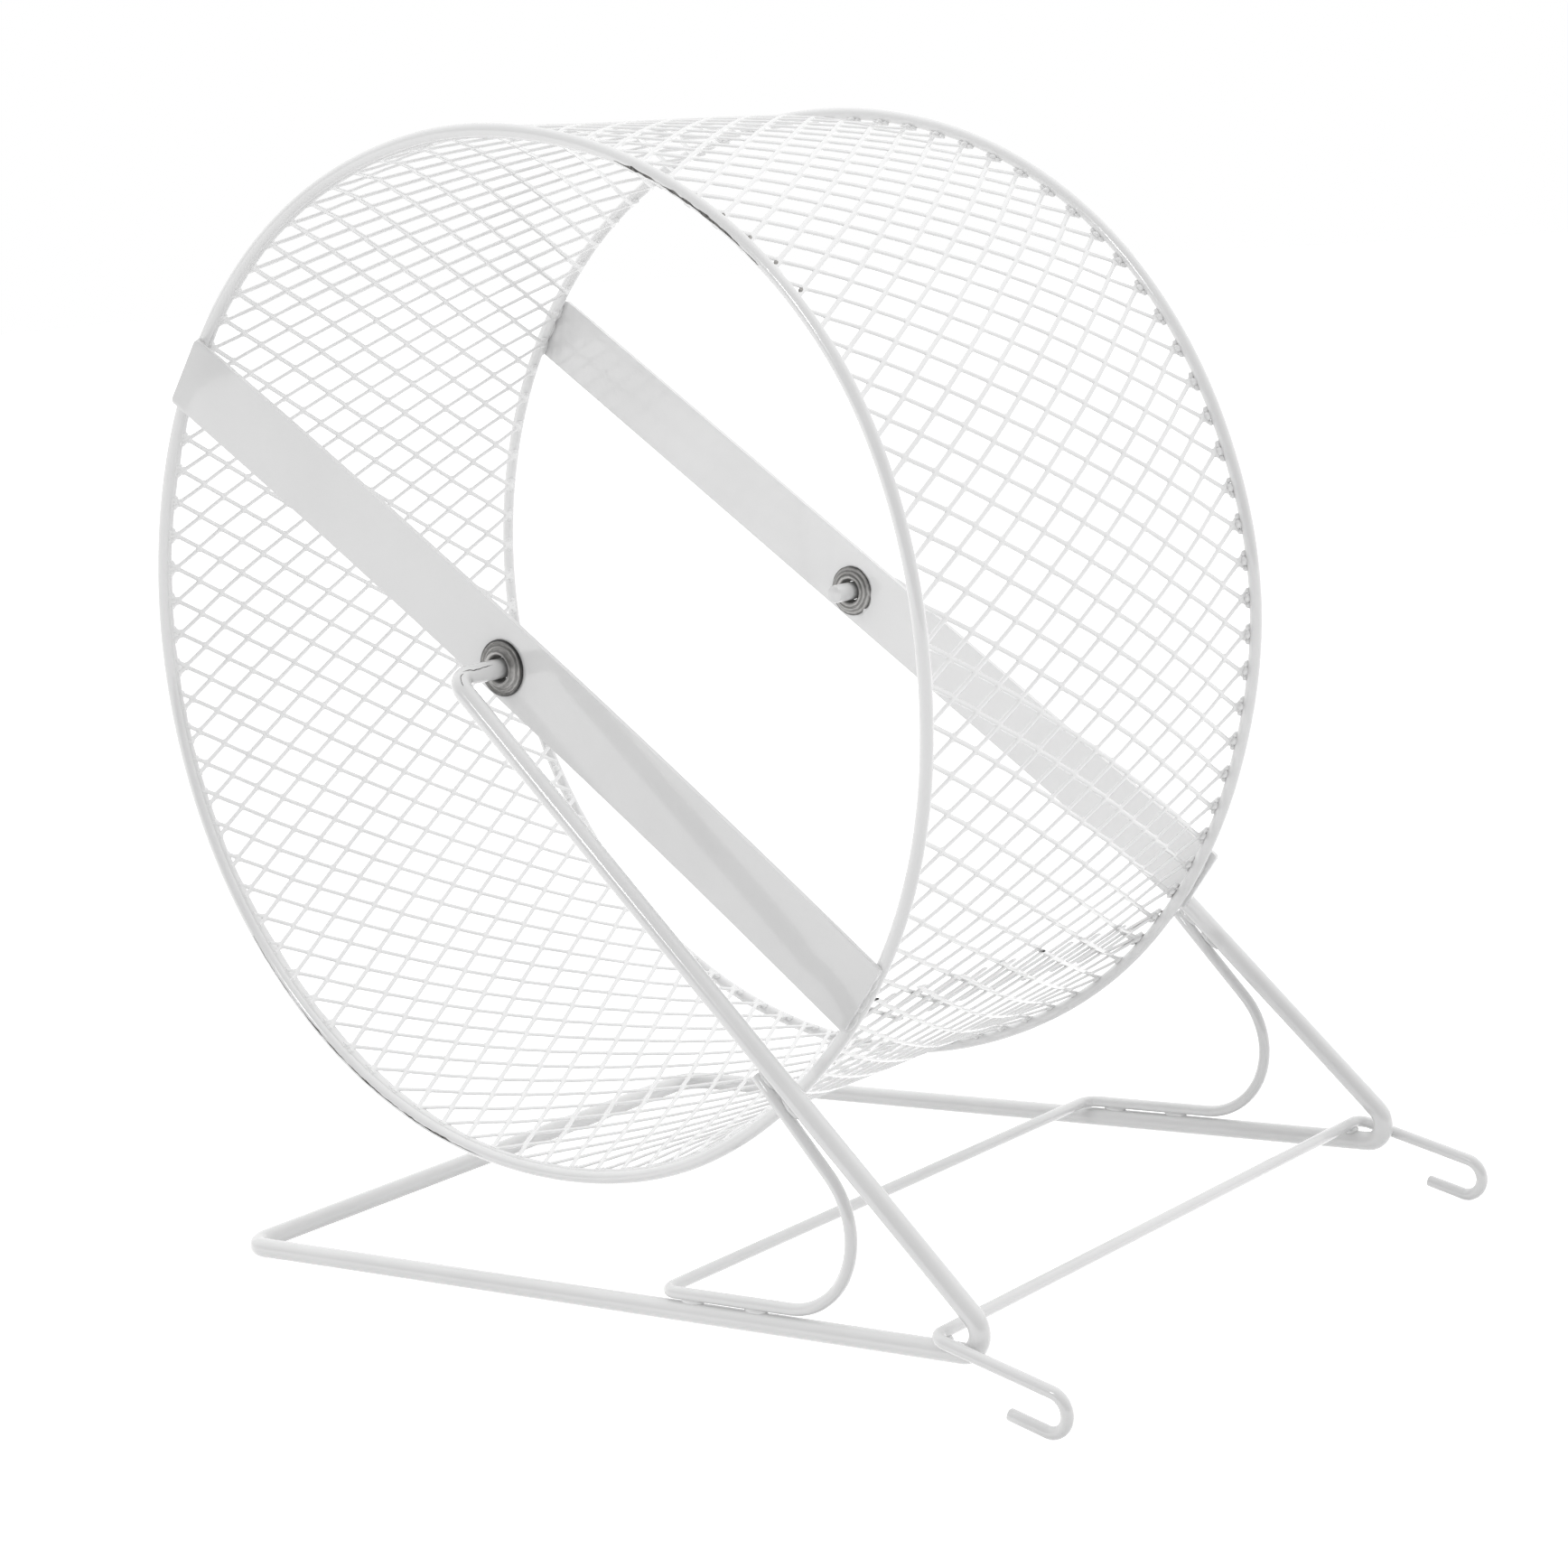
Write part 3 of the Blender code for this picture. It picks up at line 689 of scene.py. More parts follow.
def bar_welds(material):
    """The welds between hoops and crossbars, filling most of the joint across each bar."""
    bm = bmesh.new()
    for side in (-1, 1):
        for end in (0, math.pi):
            for across in BAR_WELD_PLACES:
                angle = end - CROSSBAR_ANGLE + across / HOOP_CENTRE_RADIUS
                tangent, axial, radial = directions_at(angle)
                centre = radial * (HOOP_CENTRE_RADIUS + bulge(angle, side) - BAR_WELD_INSET)
                centre.y = side * (CROSSBAR_INNER_FACE - BAR_WELD_SINK)
                draw_bead(bm, centre, (tangent, radial, axial), BAR_WELD_SIZE)
    add_piece("bar_welds", bm, material)


def eyelet(name, side, node, material):
    """A drawn eyelet: a rolled lip with two rings outside, a clinch with a slightly ragged edge inside."""
    bore = EYELET_BORE_RADIUS
    lip = EYELET_RIM_RADIUS
    outer_seat = CROSSBAR_OUTER_FACE + EYELET_SEAT
    inner_seat = CROSSBAR_INNER_FACE - EYELET_SEAT
    top = EYELET_LIP_HEIGHT + SEAT_GAP
    deep = EYELET_CLINCH_HEIGHT + SEAT_GAP
    waist = (EYELET_WAIST_RADIUS, -WAIST_DEPTH)
    outside = [(lip - inset * MM, rise * MM) for inset, rise in LIP_FROM_RIM]
    outside += [(lip - inset * MM, top * share) for inset, share in CROWN_FROM_RIM]
    outside += [(bore + offset * MM, top * share) for offset, share in CROWN_FROM_BORE]
    outside += [(bore, THROAT_FOOT), waist]
    inside = [waist, (bore, 0.0)]
    inside += [(bore + offset * MM, deep * share) for offset, share in CLINCH_FROM_BORE]
    inside += [(CLINCH_RING_RADIUS - inset * MM, deep * share) for inset, share in CLINCH_FROM_EDGE]
    profile = [(radius, side * (outer_seat + rise)) for radius, rise in outside]
    profile += [(radius, side * (inner_seat - rise)) for radius, rise in inside]
    profile += [(EYELET_BARREL_RADIUS, side * inner_seat), (EYELET_BARREL_RADIUS, side * outer_seat)]

    def ragged(radius, along, angle):
        depth = inner_seat - side * along
        spread = (radius - EYELET_BARREL_RADIUS) / (CLINCH_RING_RADIUS - EYELET_BARREL_RADIUS)
        if depth < -0.5 * CROSSBAR_THICKNESS or spread <= 0:
            return radius, along
        place = Vector((angle * CLINCH_RAGGED_FINENESS, side * 3.1, 0.5))
        stray = strays(angle, CLINCH_CHIPS) + CLINCH_RAGGED * noise.noise(place)
        return radius + stray * spread ** 3, along

    bm = bmesh.new()
    lathe(bm, profile, EYELET_STEPS, ragged)
    add_piece(name, bm, material, node, sharp=EYELET_SMOOTH_ANGLE)


# Expanded metal
def hole_outline():
    """A quarter of a hole, from its blunt side to its pointed tip, and of the middle line of the strand."""
    half_around = DIAMOND_AROUND / 2
    half_along = DIAMOND_ALONG / 2
    blunt = Vector((half_around - STRAND_WIDTH, 0))
    shoulder = Vector((half_around - STRAND_WIDTH, BOND_HALF_LENGTH))
    sharp_tip = Vector((0, half_along - BOND_HALF_LENGTH))
    near_tip = Vector((HOLE_TIP_SPREAD, sharp_tip.y - HOLE_TIP_RUN))
    tip = Vector((0, sharp_tip.y - HOLE_TIP_SETBACK))
    hole = [blunt, shoulder, shoulder.lerp(near_tip, 0.5), near_tip, tip]
    start = Vector((half_around - STRAND_WIDTH / 2, BOND_HALF_LENGTH))
    end = Vector((STRAND_WIDTH / 2, half_along - BOND_HALF_LENGTH))
    middle = [Vector((half_around, 0)), start, start.lerp(end, 0.5), end, Vector((0, half_along))]
    return hole, middle


def sheet_geometry(cells, rows):
    """The flat sheet as lists of vertices (around, along, outward) and faces."""
    hole, middle = hole_outline()
    signs = ((1, 1), (-1, 1), (-1, -1), (1, -1))
    outline = []
    for quarter, (sign_u, sign_v) in enumerate(signs):
        order = range(4) if quarter % 2 == 0 else range(4, 0, -1)
        for index in order:
            pair = (hole[index], middle[index])
            outline.append([Vector((point.x * sign_u, point.y * sign_v)) for point in pair])
    verts = []
    faces = []
    places = {}
    for row in range(-1, rows + 1):
        for cell in range(-1, cells + 1):
            centre = Vector(((cell + 0.5 + 0.5 * (row % 2)) * DIAMOND_AROUND, row * DIAMOND_ALONG / 2))
            rings = []
            for edge, mid in outline:
                ring = []
                for reach, height in STRAND_PROFILE:
                    place = centre + mid.lerp(edge, reach)
                    key = len(verts)
                    if reach == 0.0:
                        key = (round(place.x / MM * 100), round(place.y / MM * 100), height > 0)
                    if key not in places:
                        places[key] = len(verts)
                        verts.append((place.x, place.y, height * SHEET_THICKNESS / 2))
                    ring.append(places[key])
                rings.append(ring)
            for ring, after in zip(rings, rings[1:] + rings[:1]):
                for a in range(len(STRAND_PROFILE) - 1):
                    faces.append((ring[a], ring[a + 1], after[a + 1], after[a]))
    return verts, faces


def cut_sheet(bm, point, normal):
    """Shears the flat sheet off along a line, closes the cut ends and gives their middles and widths."""
    cut = bmesh.ops.bisect_plane(
        bm, geom=bm.verts[:] + bm.edges[:] + bm.faces[:], plane_co=point, plane_no=normal, clear_outer=True
    )
    edges = [item for item in cut["geom_cut"] if isinstance(item, bmesh.types.BMEdge)]
    ends = []
    for face in bmesh.ops.edgenet_fill(bm, edges=edges)["faces"]:
        places = [vert.co.x for vert in face.verts]
        ends.append(((max(places) + min(places)) / 2, point.y, max(places) - min(places)))
    return ends


def eased(value, start, end):
    """Rises smoothly from 0 to 1 as the value goes from start to end, and stays level beyond."""
    share = min(max((value - start) / (end - start), 0), 1)
    return share * share * (3 - 2 * share)


def rolled(around, along, outward):
    """Where a place on the flat sheet comes to lie on the drum; around counts from the lower cut edge."""
    position = Vector((around, along, 0)) / WAVE_LENGTH
    sway = noise.noise(position + SWAY_SEED)
    swell = noise.noise(position * SWELL_FINENESS + SWELL_SEED)
    from_rim = min(along, HOOP_SPACING - along)
    beside_rim = 1 - eased(from_rim, 0, RIM_FLARE_RUN)
    lap_step = (SHEET_THICKNESS + LAP_GAP) * (1 - eased(around - LAP_LENGTH - LAP_SKEW, 0, LAP_EASE))
    lap_step *= 1 - RIM_LAP_CLOSING * beside_rim
    flare = RIM_FLARE * beside_rim
    angle = SEAM_ANGLE + (around + WAVE_HEIGHT * sway) / SHEET_MIDDLE_RADIUS
    share = along / HOOP_SPACING
    out_of_round = bulge(angle, -1) * (1 - share) + bulge(angle, 1) * share
    barrel = (BARREL + strays(angle, BARREL_BULGES)) * eased(from_rim, 0, BARREL_RUN)
    radius = SHEET_MIDDLE_RADIUS - lap_step + flare + barrel + outward + out_of_round + WAVE_HEIGHT * swell
    return on_circle(angle, radius, along - HOOP_PLANE)


def drift(around, along):
    """How far the rows of holes stray at a place: the sheet was cut askew and crept while it was rolled."""
    angle = SEAM_ANGLE + around / SHEET_MIDDLE_RADIUS
    degrees = math.degrees(angle)
    across = along - HOOP_PLANE
    near = 1 - along / HOOP_SPACING
    late = eased(degrees, *LATE_RANGE)
    lead = CELL_LEAD * eased(degrees, *CELL_LEAD_RANGE) - CELL_LAG
    lead += strays(angle, CELL_STRAYS) + strays(angle, SQUASHED_CELL_STRAYS) * near
    lead += across * (CELL_SKEW + CELL_LATE_SKEW * late)
    arch = ROW_ARCH * (ROW_ARCH_GAIN * eased(degrees, *ROW_ARCH_RANGE) - 1)
    rows = FIRST_ROW_INSET - ROW_STEP_OVER_TOP * eased(degrees, *ROW_STEP_RANGE)
    rows += strays(angle, ROW_STRAYS) + strays(angle, SQUASHED_ROW_STRAYS) * near
    rows -= ROW_RUN_OUT * max(0, degrees - ROW_RUN_OUT_START)
    rows += arch * (across / HOOP_PLANE) ** 2 + across * (ROW_SPREAD - ROW_SQUEEZE * late)
    return lead, rows


def running_mesh(material):
    """The rolled sheet; gives the places where its strands are cut off at the rims, and their widths."""
    around_drum = 2 * math.pi * SHEET_MIDDLE_RADIUS
    cells = math.ceil((around_drum + LAP_LENGTH + LAP_SKEW) / DIAMOND_AROUND) + 2
    rows = math.ceil(HOOP_SPACING / (DIAMOND_ALONG / 2)) + 4
    verts, faces = sheet_geometry(cells, rows)
    flat = []
    for u, v, w in verts:
        lead, creep = drift(u - SHEET_START, v)
        flat.append((u - SHEET_START + lead, v + creep, w))
    mesh = bpy.data.meshes.new("flat_sheet")
    mesh.from_pydata(flat, [], faces)
    bm = bmesh.new()
    bm.from_mesh(mesh)
    bpy.data.meshes.remove(mesh)
    slope = LAP_SKEW / HOOP_SPACING
    ends = cut_sheet(bm, Vector((0, SHEET_EDGE_INSET, 0)), Vector((0, -1, 0)))
    ends += cut_sheet(bm, Vector((0, HOOP_SPACING - SHEET_EDGE_INSET, 0)), Vector((0, 1, 0)))
    cut_sheet(bm, Vector((LAP_SKEW, 0, 0)), Vector((-1, -slope, 0)))
    cut_sheet(bm, Vector((LAP_SKEW + around_drum + LAP_LENGTH, 0, 0)), Vector((1, slope, 0)))
    for vert in bm.verts:
        vert.co = rolled(*vert.co)
    add_piece("expanded_metal", bm, material, "running_mesh")
    length = around_drum + LAP_LENGTH
    return [end for end in ends if 0 < end[0] - LAP_SKEW * (1 - end[1] / HOOP_SPACING) < length]


def on_sheet(around, along, lift):
    """A place over the rolled sheet, with the directions there."""
    centre = rolled(around, along, lift)
    return centre, directions_at(math.atan2(centre.z, centre.x))


def paired(ends):
    """The cut ends in pairs: the two short strands that run from one bond to a rim."""
    pairs = []
    for side in (-1, 1):
        row = sorted(end for end in ends if (end[1] - HOOP_PLANE) * side > 0)
        pairs += [pair for pair in zip(row, row[1:]) if pair[1][0] - pair[0][0] < FOOT_SPREAD]
    return pairs


def rim_welds(ends, material):
    """The coated lumps where cut strands are welded to a hoop, and the webs of coat between paired ones."""
    bm = bmesh.new()
    for around, along, width in ends:
        inner = math.copysign(RIM_WELD_INSET, HOOP_PLANE - along)
        centre, directions = on_sheet(around, along + inner, RIM_WELD_LIFT)
        size = 1 + RIM_WELD_CHANGE * noise.noise(centre * RIM_WELD_VARIETY)
        beside, axial, radial = RIM_WELD_SIZE
        halves = ((width / 2 + beside) * size, axial * size, radial)
        draw_bead(bm, centre, directions, halves, subdivisions=2)
    for first, second in paired(ends):
        gap = second[0] - first[0]
        inner = math.copysign(WEB_INSET, HOOP_PLANE - first[1])
        centre, directions = on_sheet((first[0] + second[0]) / 2, first[1] + inner, WEB_LIFT)
        halves = (gap * WEB_SHARE_OF_GAP + WEB_SIZE[0], *WEB_SIZE[1:])
        draw_bead(bm, centre, directions, halves, subdivisions=2)
    add_piece("rim_welds", bm, material)


def rim_fillet(material):
    """The coat that fills the crease between the near hoop and the sheet, widest low on the left."""
    reach = COATED_HOOP_CENTRE - COATED_HOOP_RADIUS + FILLET_SINK
    middle = FILLET_MIDDLE - HOOP_PLANE
    profile = ellipse(FILLET_SIDES, reach, middle, FILLET_HALF_HEIGHT, FILLET_HALF_DEPTH)

    def uneven(radius, along, angle):
        swell = noise.noise(on_circle(angle, 1, 0.7) * FILLET_FINENESS)
        width = 1 + FILLET_CHANGE * swell + strays(angle, FILLET_WEBS) / MM
        return radius + bulge(angle, -1), (HOOP_PLANE + along) * width - HOOP_PLANE

    bm = bmesh.new()
    lathe(bm, profile, FILLET_STEPS, uneven)
    add_piece("front_fillet", bm, material)


def rim_marks(ends, material):
    """Grey marks where cut strands meet the hoops: at the far hoop on the right, on strands at the near
    one.
    """
    bm = bmesh.new()
    for around, along, width in ends:
        degrees = math.degrees(SEAM_ANGLE + around / SHEET_MIDDLE_RADIUS) % 360
        chance = noise.noise(Vector((around * MARK_VARIETY[0], along * MARK_VARIETY[1], 8.7)))
        low, high = FAR_MARK_RANGE
        if along > HOOP_PLANE and not high <= degrees <= low and chance > FAR_MARK_CHANCE:
            aside, inset, lift = FAR_MARK_OFFSET
            centre, directions = on_sheet(around + aside, HOOP_SPACING + inset, lift)
            size = FAR_MARK_GROWTH[0] + FAR_MARK_GROWTH[1] * chance
            halves = (FAR_MARK_SIZE[0] * size, FAR_MARK_SIZE[1] * size, FAR_MARK_SIZE[2])
            draw_bead(bm, centre, directions, halves, FAR_MARK_ROUGHNESS, subdivisions=2)
        low, high = NEAR_MARK_RANGE
        if along < HOOP_PLANE and low < degrees < high and width > NEAR_MARK_BOND_WIDTH:
            aside, inset, lift = NEAR_MARK_OFFSET
            centre, (tangent, axial, radial) = on_sheet(around + aside, along + inset, lift)
            run = (tangent * DIAMOND_AROUND + axial * DIAMOND_ALONG).normalized()
            directions = (run, run.cross(radial), radial)
            draw_bead(bm, centre, directions, NEAR_MARK_SIZE, NEAR_MARK_ROUGHNESS, subdivisions=2)
    add_piece("rim_marks", bm, material)


# Cracked coat, and lines of painted shade
def trace_dark_line(bm, path, radius, lean, angles, width, seed):
    """A dark line along a wire where it faces the camera: a crack in the stand wire's coat,
    on the near hoop a line of painted shade and dark reflection.

    It runs from the first to the second angle, counted round the wire from the line that faces the
    camera toward the lean side, and its width comes and goes along the path.
    """
    eye = Vector(CAMERA_TARGET) - camera_axes()[0] * CAMERA_DISTANCE
    start, end = (math.radians(angle) for angle in angles)
    rows = []
    for index, (point, along) in enumerate(zip(path, headings(path))):
        facing = eye - point
        facing = (facing - along * facing.dot(along)).normalized()
        beside = along.cross(facing)
        if beside.dot(lean) < 0:
            beside = -beside
        share = index / (len(path) - 1)
        wander = start + (end - start) * share
        wander += DARK_LINE_WANDER * noise.noise(point * DARK_LINE_FINENESS[0] + Vector((seed, 0, 0)))
        change = noise.noise(point * DARK_LINE_FINENESS[1] + Vector((0, seed, 0)))
        breadth = width * (DARK_LINE_BREADTH[0] + DARK_LINE_BREADTH[1] * change)
        breadth *= min(1, DARK_LINE_TAPER * share, DARK_LINE_TAPER * (1 - share))
        row = []
        for edge in (-1, 0, 1):
            turn = wander + edge * max(breadth, 0) / 2 / radius
            row.append(point + (facing * math.cos(turn) + beside * math.sin(turn)) * (radius + DARK_LINE_LIFT))
        rows.append((breadth, row))
    for (low_breadth, low), (high_breadth, high) in zip(rows, rows[1:]):
        if low_breadth > 0 and high_breadth > 0:
            low_verts = [bm.verts.new(place) for place in low]
            high_verts = [bm.verts.new(place) for place in high]
            for a in range(2):
                bm.faces.new((low_verts[a], low_verts[a + 1], high_verts[a + 1], high_verts[a]))


def hoop_arc(start, end):
    """World points along the middle of the near hoop's wire between two angles in degrees."""
    steps = math.ceil(abs(end - start) * ARC_STEPS_PER_DEGREE)
    angles = [math.radians(start + (end - start) * step / steps) for step in range(steps + 1)]
    middle = COATED_HOOP_CENTRE
    return [WHEEL_TO_WORLD @ on_circle(angle, middle + bulge(angle, -1), -HOOP_PLANE) for angle in angles]


def wire_stretch(start, end):
    """World points along the stand wire between two distances in mm from its near pin's end."""
    placed = resampled([STAND_TO_WORLD @ point for point in stand_path()], STRETCH_STEP)
    points = []
    run = 0
    for before, point in zip(placed, placed[1:]):
        run += (point - before).length
        if start * MM <= run <= end * MM:
            points.append(point)
    return points


def draw_crack_and_shade_lines(name, body, line_rows, stretch, radius, material):
    """The crack lines and painted shade lines of one wire; the function stretch gives parts of its
    middle line in the world.
    """
    bm = bmesh.new()
    for start, end, lean, angles, width, seed in line_rows:
        trace_dark_line(bm, stretch(start, end), radius, lean, angles, width * MM, seed)
    add_piece(name, bm, material, None, body, Matrix.Identity(4))


# Finishes
def feed(tree, node, inputs):
    """Sets a node's inputs to plain values, or links them to other nodes' outputs."""
    for key, value in inputs.items():
        if isinstance(value, bpy.types.NodeSocket):
            tree.links.new(value, node.inputs[key])
        else:
            node.inputs[key].default_value = value


def add_node(tree, kind, output, inputs=None, **settings):
    """Adds a shader node and gives one of its outputs."""
    node = tree.nodes.new("ShaderNode" + kind)
    for name, value in settings.items():
        setattr(node, name, value)
    feed(tree, node, inputs or {})
    return node.outputs[output]


def add_math(tree, operation, *values, clamp=False):
    return add_node(tree, "Math", 0, dict(enumerate(values)), operation=operation, use_clamp=clamp)


def add_vector_math(tree, operation, output, *values):
    return add_node(tree, "VectorMath", output, dict(enumerate(values)), operation=operation)


def add_mix(tree, kind, factor, low, high):
    return add_node(tree, "Mix", "Result", {"Factor": factor, "A": low, "B": high}, data_type=kind)


def add_noise(tree, place, scale, detail):
    return add_node(tree, "TexNoise", "Fac", {"Vector": place, "Scale": scale, "Detail": detail})


def add_bump(tree, height, strength, distance):
    return add_node(tree, "Bump", "Normal", {"Height": height, "Strength": strength, "Distance": distance})


def add_range(tree, value, source, target, kind="LINEAR"):
    """Carries a value over from one range, given by its two ends, to another."""
    inputs = dict(zip(("From Min", "From Max", "To Min", "To Max"), source + target), Value=value)
    return add_node(tree, "MapRange", "Result", inputs, interpolation_type=kind)


def tinted(grey, tint):
    return tuple(grey * part for part in tint) + (1,)


def add_tones(tree, value, stops, interpolation="LINEAR"):
    """A ramp through the stops, each a position and a colour."""
    tones = add_node(tree, "ValToRGB", "Color", {"Fac": value})
    ramp = tones.node.color_ramp
    ramp.interpolation = interpolation
    for position, colour in stops[1:-1]:
        ramp.elements.new(position)
    for element, (position, colour) in zip(ramp.elements, stops):
        element.position = position
        element.color = colour
    return tones


def new_material(name):
    material = bpy.data.materials.new(name)
    material.use_nodes = True
    tree = material.node_tree
    return material, tree, tree.nodes["Principled BSDF"]


def powder_coat(name, shade):
    """White powder coat: faint orange peel, slow changes of tone, a soft gloss."""
    material, tree, shader = new_material(name)
    place = add_node(tree, "TexCoord", "Object")
    slow = add_noise(tree, place, *COAT_CHANGE)
    colours = (tinted(shade * COAT_DULL_SHARE, NEUTRAL), tinted(shade, NEUTRAL))
    feed(tree, shader, {
        "Base Color": add_tones(tree, slow, list(zip(COAT_TONE_RANGE, colours))),
        "Roughness": add_range(tree, slow, (0, 1), COAT_ROUGHNESS),
        "Coat Weight": CLEAR_WEIGHT,
        "Coat Roughness": CLEAR_ROUGHNESS,
        "Normal": add_bump(tree, add_noise(tree, place, *COAT_PEEL), *COAT_PEEL_BUMP),
    })
    return material


def distance_from_axle(tree, place):
    """Where a place lies from the middle of the wheel, and how far it is from the axle."""
    offset = add_vector_math(tree, "SUBTRACT", "Vector", place, tuple(AXLE))
    flattened = add_vector_math(tree, "MULTIPLY", "Vector", offset, (1, 0, 1))
    return offset, add_vector_math(tree, "LENGTH", "Value", flattened)


def darken_pins_at_eyelets(material):
    """Darkens the coat of the stand wire close to the eyelets, where its pins turn in them."""
    tree = material.node_tree
    shader = tree.nodes["Principled BSDF"]
    coat = shader.inputs["Base Color"].links[0].from_socket
    place = add_node(tree, "TexCoord", "Object")
    offset, radius = distance_from_axle(tree, place)
    along = add_math(tree, "ABSOLUTE", add_node(tree, "SeparateXYZ", "Y", {"Vector": offset}))
    factor = add_noise(tree, place, *PIN_DARK_SPOTS)
    levels = ((radius, PIN_DARK_RADII, PIN_DARK_STRENGTH), (along, PIN_DARK_START, 1), (along, PIN_DARK_END, 1))
    for value, source, high in levels:
        level = add_range(tree, value, source, (0, high), "SMOOTHSTEP")
        factor = add_math(tree, "MULTIPLY", level, factor, clamp=True)
    feed(tree, shader, {"Base Color": add_mix(tree, "RGBA", factor, coat, tinted(PIN_DARK_TONE, NEUTRAL))})


def nickel():
    """Dulled nickel plate under a fine haze: grime and painted shade lie in the grooves,
    with painted highlights on the crests.
    """
    material, tree, shader = new_material("nickel_plate")
    place = add_node(tree, "TexCoord", "Object")
    offset, radius = distance_from_axle(tree, place)
    haze = add_noise(tree, place, *NICKEL_HAZE)
    wander = add_math(tree, "MULTIPLY_ADD", haze, NICKEL_WANDER, radius)
    stops = [(position, tinted(tone, NICKEL_TINT)) for position, tone in NICKEL_SHADE_GRIME_AND_HIGHLIGHT_TONES]
    stops.append((1.0, tinted(NICKEL_RIM_SHADE_TONE, NEUTRAL)))
    gloss = add_range(tree, haze, (0, 1), NICKEL_ROUGHNESS)
    grime = add_range(tree, radius, THROAT_GRIME, THROAT_ROUGHNESS)
    feed(tree, shader, {
        "Metallic": NICKEL_METALLIC,
        "Base Color": add_tones(tree, add_range(tree, wander, NICKEL_RINGS, (0, 1)), stops, "B_SPLINE"),
        "Roughness": add_math(tree, "MAXIMUM", gloss, grime),
        "Normal": add_bump(tree, haze, *NICKEL_HAZE_BUMP),
    })
    return material


def dark_steel(name, dark, light):
    """Dark steel grey: crack lines in the coat, painted shade lines on the near hoop, marks at the rims."""
    material, tree, shader = new_material(name)
    stain = add_noise(tree, add_node(tree, "TexCoord", "Object"), *STEEL_STAIN)
    colours = (tinted(dark, STEEL_DARK_TINT), tinted(light, STEEL_LIGHT_TINT))
    feed(tree, shader, {
        "Base Color": add_tones(tree, stain, list(zip(STEEL_TONE_RANGE, colours))),
        "Metallic": STEEL_METALLIC,
        "Roughness": STEEL_ROUGHNESS,
    })
    return material


# Camera, floor and light
def camera_axes():
    """The directions ahead of, to the right of and up from the camera."""
    forward = Vector((
        math.sin(CAMERA_AZIMUTH) * math.cos(CAMERA_ELEVATION),
        math.cos(CAMERA_AZIMUTH) * math.cos(CAMERA_ELEVATION),
        -math.sin(CAMERA_ELEVATION),
    ))
    level = Vector((math.cos(CAMERA_AZIMUTH), -math.sin(CAMERA_AZIMUTH), 0))
    upright = level.cross(forward)
    right = level * math.cos(CAMERA_ROLL) + upright * math.sin(CAMERA_ROLL)
    up = upright * math.cos(CAMERA_ROLL) - level * math.sin(CAMERA_ROLL)
    return forward, right, up


def set_camera():
    forward, right, up = camera_axes()
    data = bpy.data.cameras.new("camera")
    data.lens = CAMERA_LENS
    data.sensor_width = CAMERA_SENSOR
    camera = add_object("camera", data)
    turn = Matrix((right, up, -forward)).transposed().to_4x4()
    camera.matrix_world = Matrix.Translation(Vector(CAMERA_TARGET) - forward * CAMERA_DISTANCE) @ turn
    bpy.context.scene.camera = camera


def light_path(tree):
    """1 for rays from the camera, and 1 for rays from mirrors and through glass."""
    camera = add_node(tree, "LightPath", "Is Camera Ray")
    rays = camera.node.outputs
    return camera, add_math(tree, "ADD", rays["Is Glossy Ray"], rays["Is Transmission Ray"], clamp=True)


def set_world():
    """A light tent: bright at the sides, dimmer before and behind the object; white where it is seen."""
    world = bpy.data.worlds.new("studio")
    bpy.context.scene.world = world
    world.use_nodes = True
    tree = world.node_tree
    away = (camera_axes()[0] - Vector(TENT_DIM_SIDE)).normalized()
    direction = add_node(tree, "TexCoord", "Generated")
    facing = add_vector_math(tree, "DOT_PRODUCT", "Value", direction, tuple(away))
    front, back, mirrored_tent = (add_range(tree, facing, *ends, "SMOOTHSTEP") for ends in (
        (TENT_FRONT_RANGE, (TENT_FRONT, TENT_BRIGHT)),
        (TENT_BACK_RANGE, (1, TENT_BACK)),
        (TENT_REFLECTED_RANGE, (TENT_REFLECTED_FRONT, 1)),
    ))
    camera, mirror = light_path(tree)
    reflected = add_mix(tree, "FLOAT", mirror, add_math(tree, "MULTIPLY", front, back), mirrored_tent)
    seen = add_mix(tree, "FLOAT", camera, reflected, 1)
    feed(tree, tree.nodes["Background"], {"Color": WHITE, "Strength": seen})


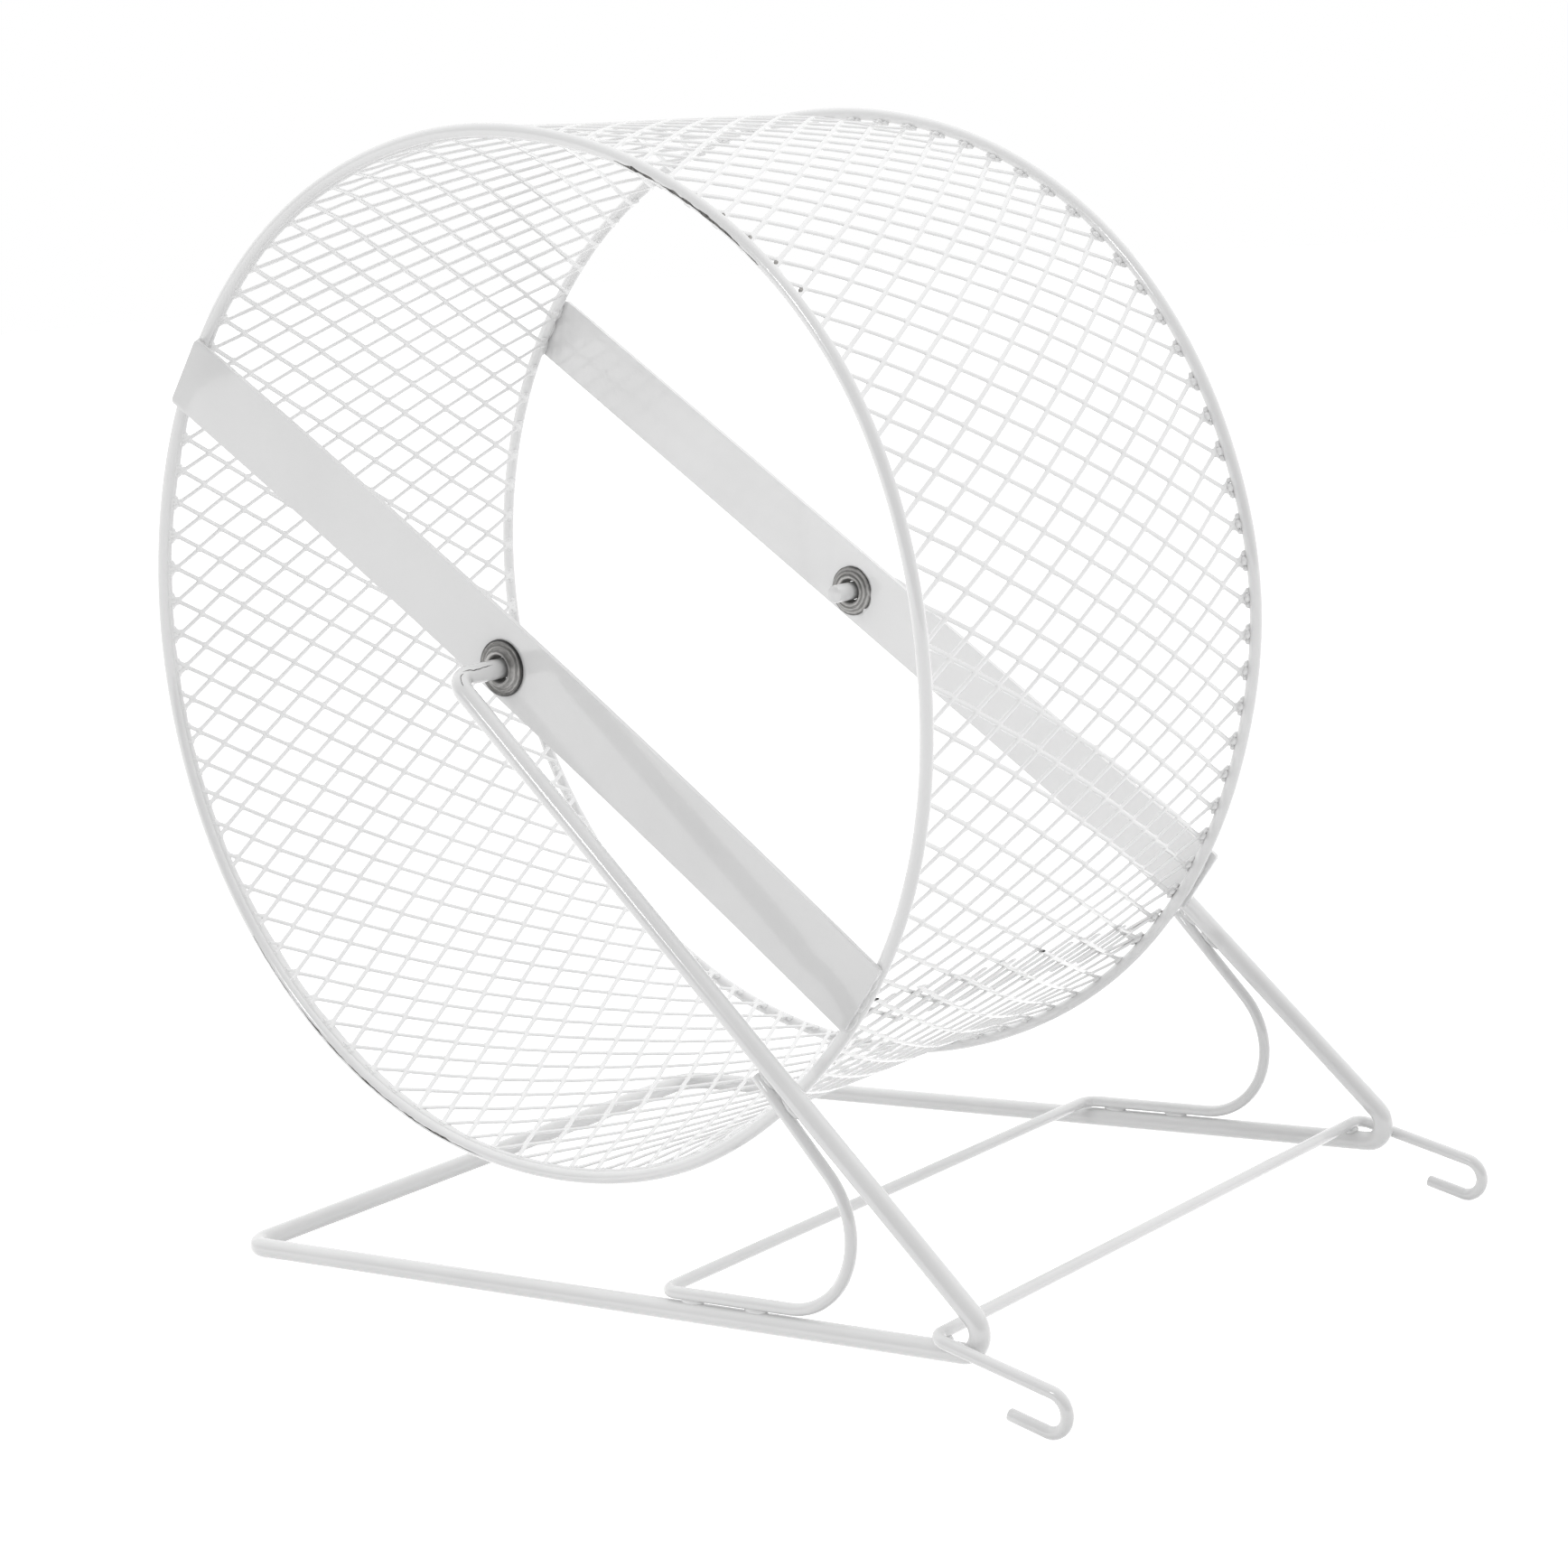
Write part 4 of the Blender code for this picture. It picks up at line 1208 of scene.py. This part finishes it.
def set_floor():
    bm = bmesh.new()
    bmesh.ops.create_grid(bm, x_segments=1, y_segments=1, size=FLOOR_HALF_SIZE)
    material, tree, shader = new_material("paper_floor")
    seen = add_math(tree, "ADD", *light_path(tree), clamp=True)
    feed(tree, shader, {
        "Base Color": tinted(FLOOR_SHADE, NEUTRAL),
        "Roughness": FLOOR_ROUGHNESS,
        "Specular IOR Level": 0,
        "Emission Color": WHITE,
        "Emission Strength": add_math(tree, "MULTIPLY", seen, FLOOR_GLOW),
    })
    floor = add_mesh("floor", bm, material)


def add_softbox():
    """The square softbox in front of the wheel that draws a bright line down the near leg."""
    data = bpy.data.lights.new("softbox", "AREA")
    data.shape = "SQUARE"
    data.size = SOFTBOX_SIZE
    data.energy = SOFTBOX_POWER
    lamp = add_object("softbox", data)
    aim = Vector(SOFTBOX_AIM)
    lamp.location = aim + Vector(SOFTBOX_DIRECTION) * SOFTBOX_DISTANCE
    lamp.rotation_euler = (aim - lamp.location).to_track_quat("-Z", "Y").to_euler()


def main():
    coat, bar_coat, far_lit_coat, sheet_coat, stand_coat, hoop_coat = (powder_coat(*coat) for coat in COATS)
    darken_pins_at_eyelets(stand_coat)
    crack_and_shade_finish, marking = (dark_steel(*steel) for steel in STEELS)
    metal = nickel()
    bent_wire("stand_rod", stand_path(), STAND_WIRE_RADIUS, "stand_wire", stand_coat)
    bent_wire("brace_rod", brace_path(), THIN_WIRE_RADIUS, "brace_wire", coat)
    bent_wire("hook_rod", hook_path(), THIN_WIRE_RADIUS, "hook_wire", coat)
    stand_welds(coat)
    ends = running_mesh(sheet_coat)
    rim_welds(ends, sheet_coat)
    rim_marks(ends, marking)
    rim_fillet(hoop_coat)
    bar_welds(coat)
    # The near hoop's dark lines are painted shade and dark reflection; the stand wire's are crack lines
    draw_crack_and_shade_lines("hoop_painted_shade", "wheel", HOOP_SHADE_LINES, hoop_arc, COATED_HOOP_RADIUS, crack_and_shade_finish)
    draw_crack_and_shade_lines("stand_crack_lines", "stand", STAND_CRACKS, wire_stretch, STAND_WIRE_RADIUS, crack_and_shade_finish)
    # The far hoop and crossbar take the lighter copy of the coat, as painted light
    for word, side, ring_coat, strap_coat, sizes in (
        ("front", -1, hoop_coat, bar_coat, FRONT_BAR),
        ("back", 1, far_lit_coat, far_lit_coat, BACK_BAR),
    ):
        hoop(word + "_ring", side, word + "_hoop", ring_coat)
        crossbar(word + "_strap", side, word + "_crossbar", strap_coat, *sizes)
        eyelet(word + "_bearing", side, word + "_eyelet", metal)
    set_camera()
    bpy.context.scene.view_settings.view_transform = "Standard"
    set_world()
    set_floor()
    add_softbox()


main()
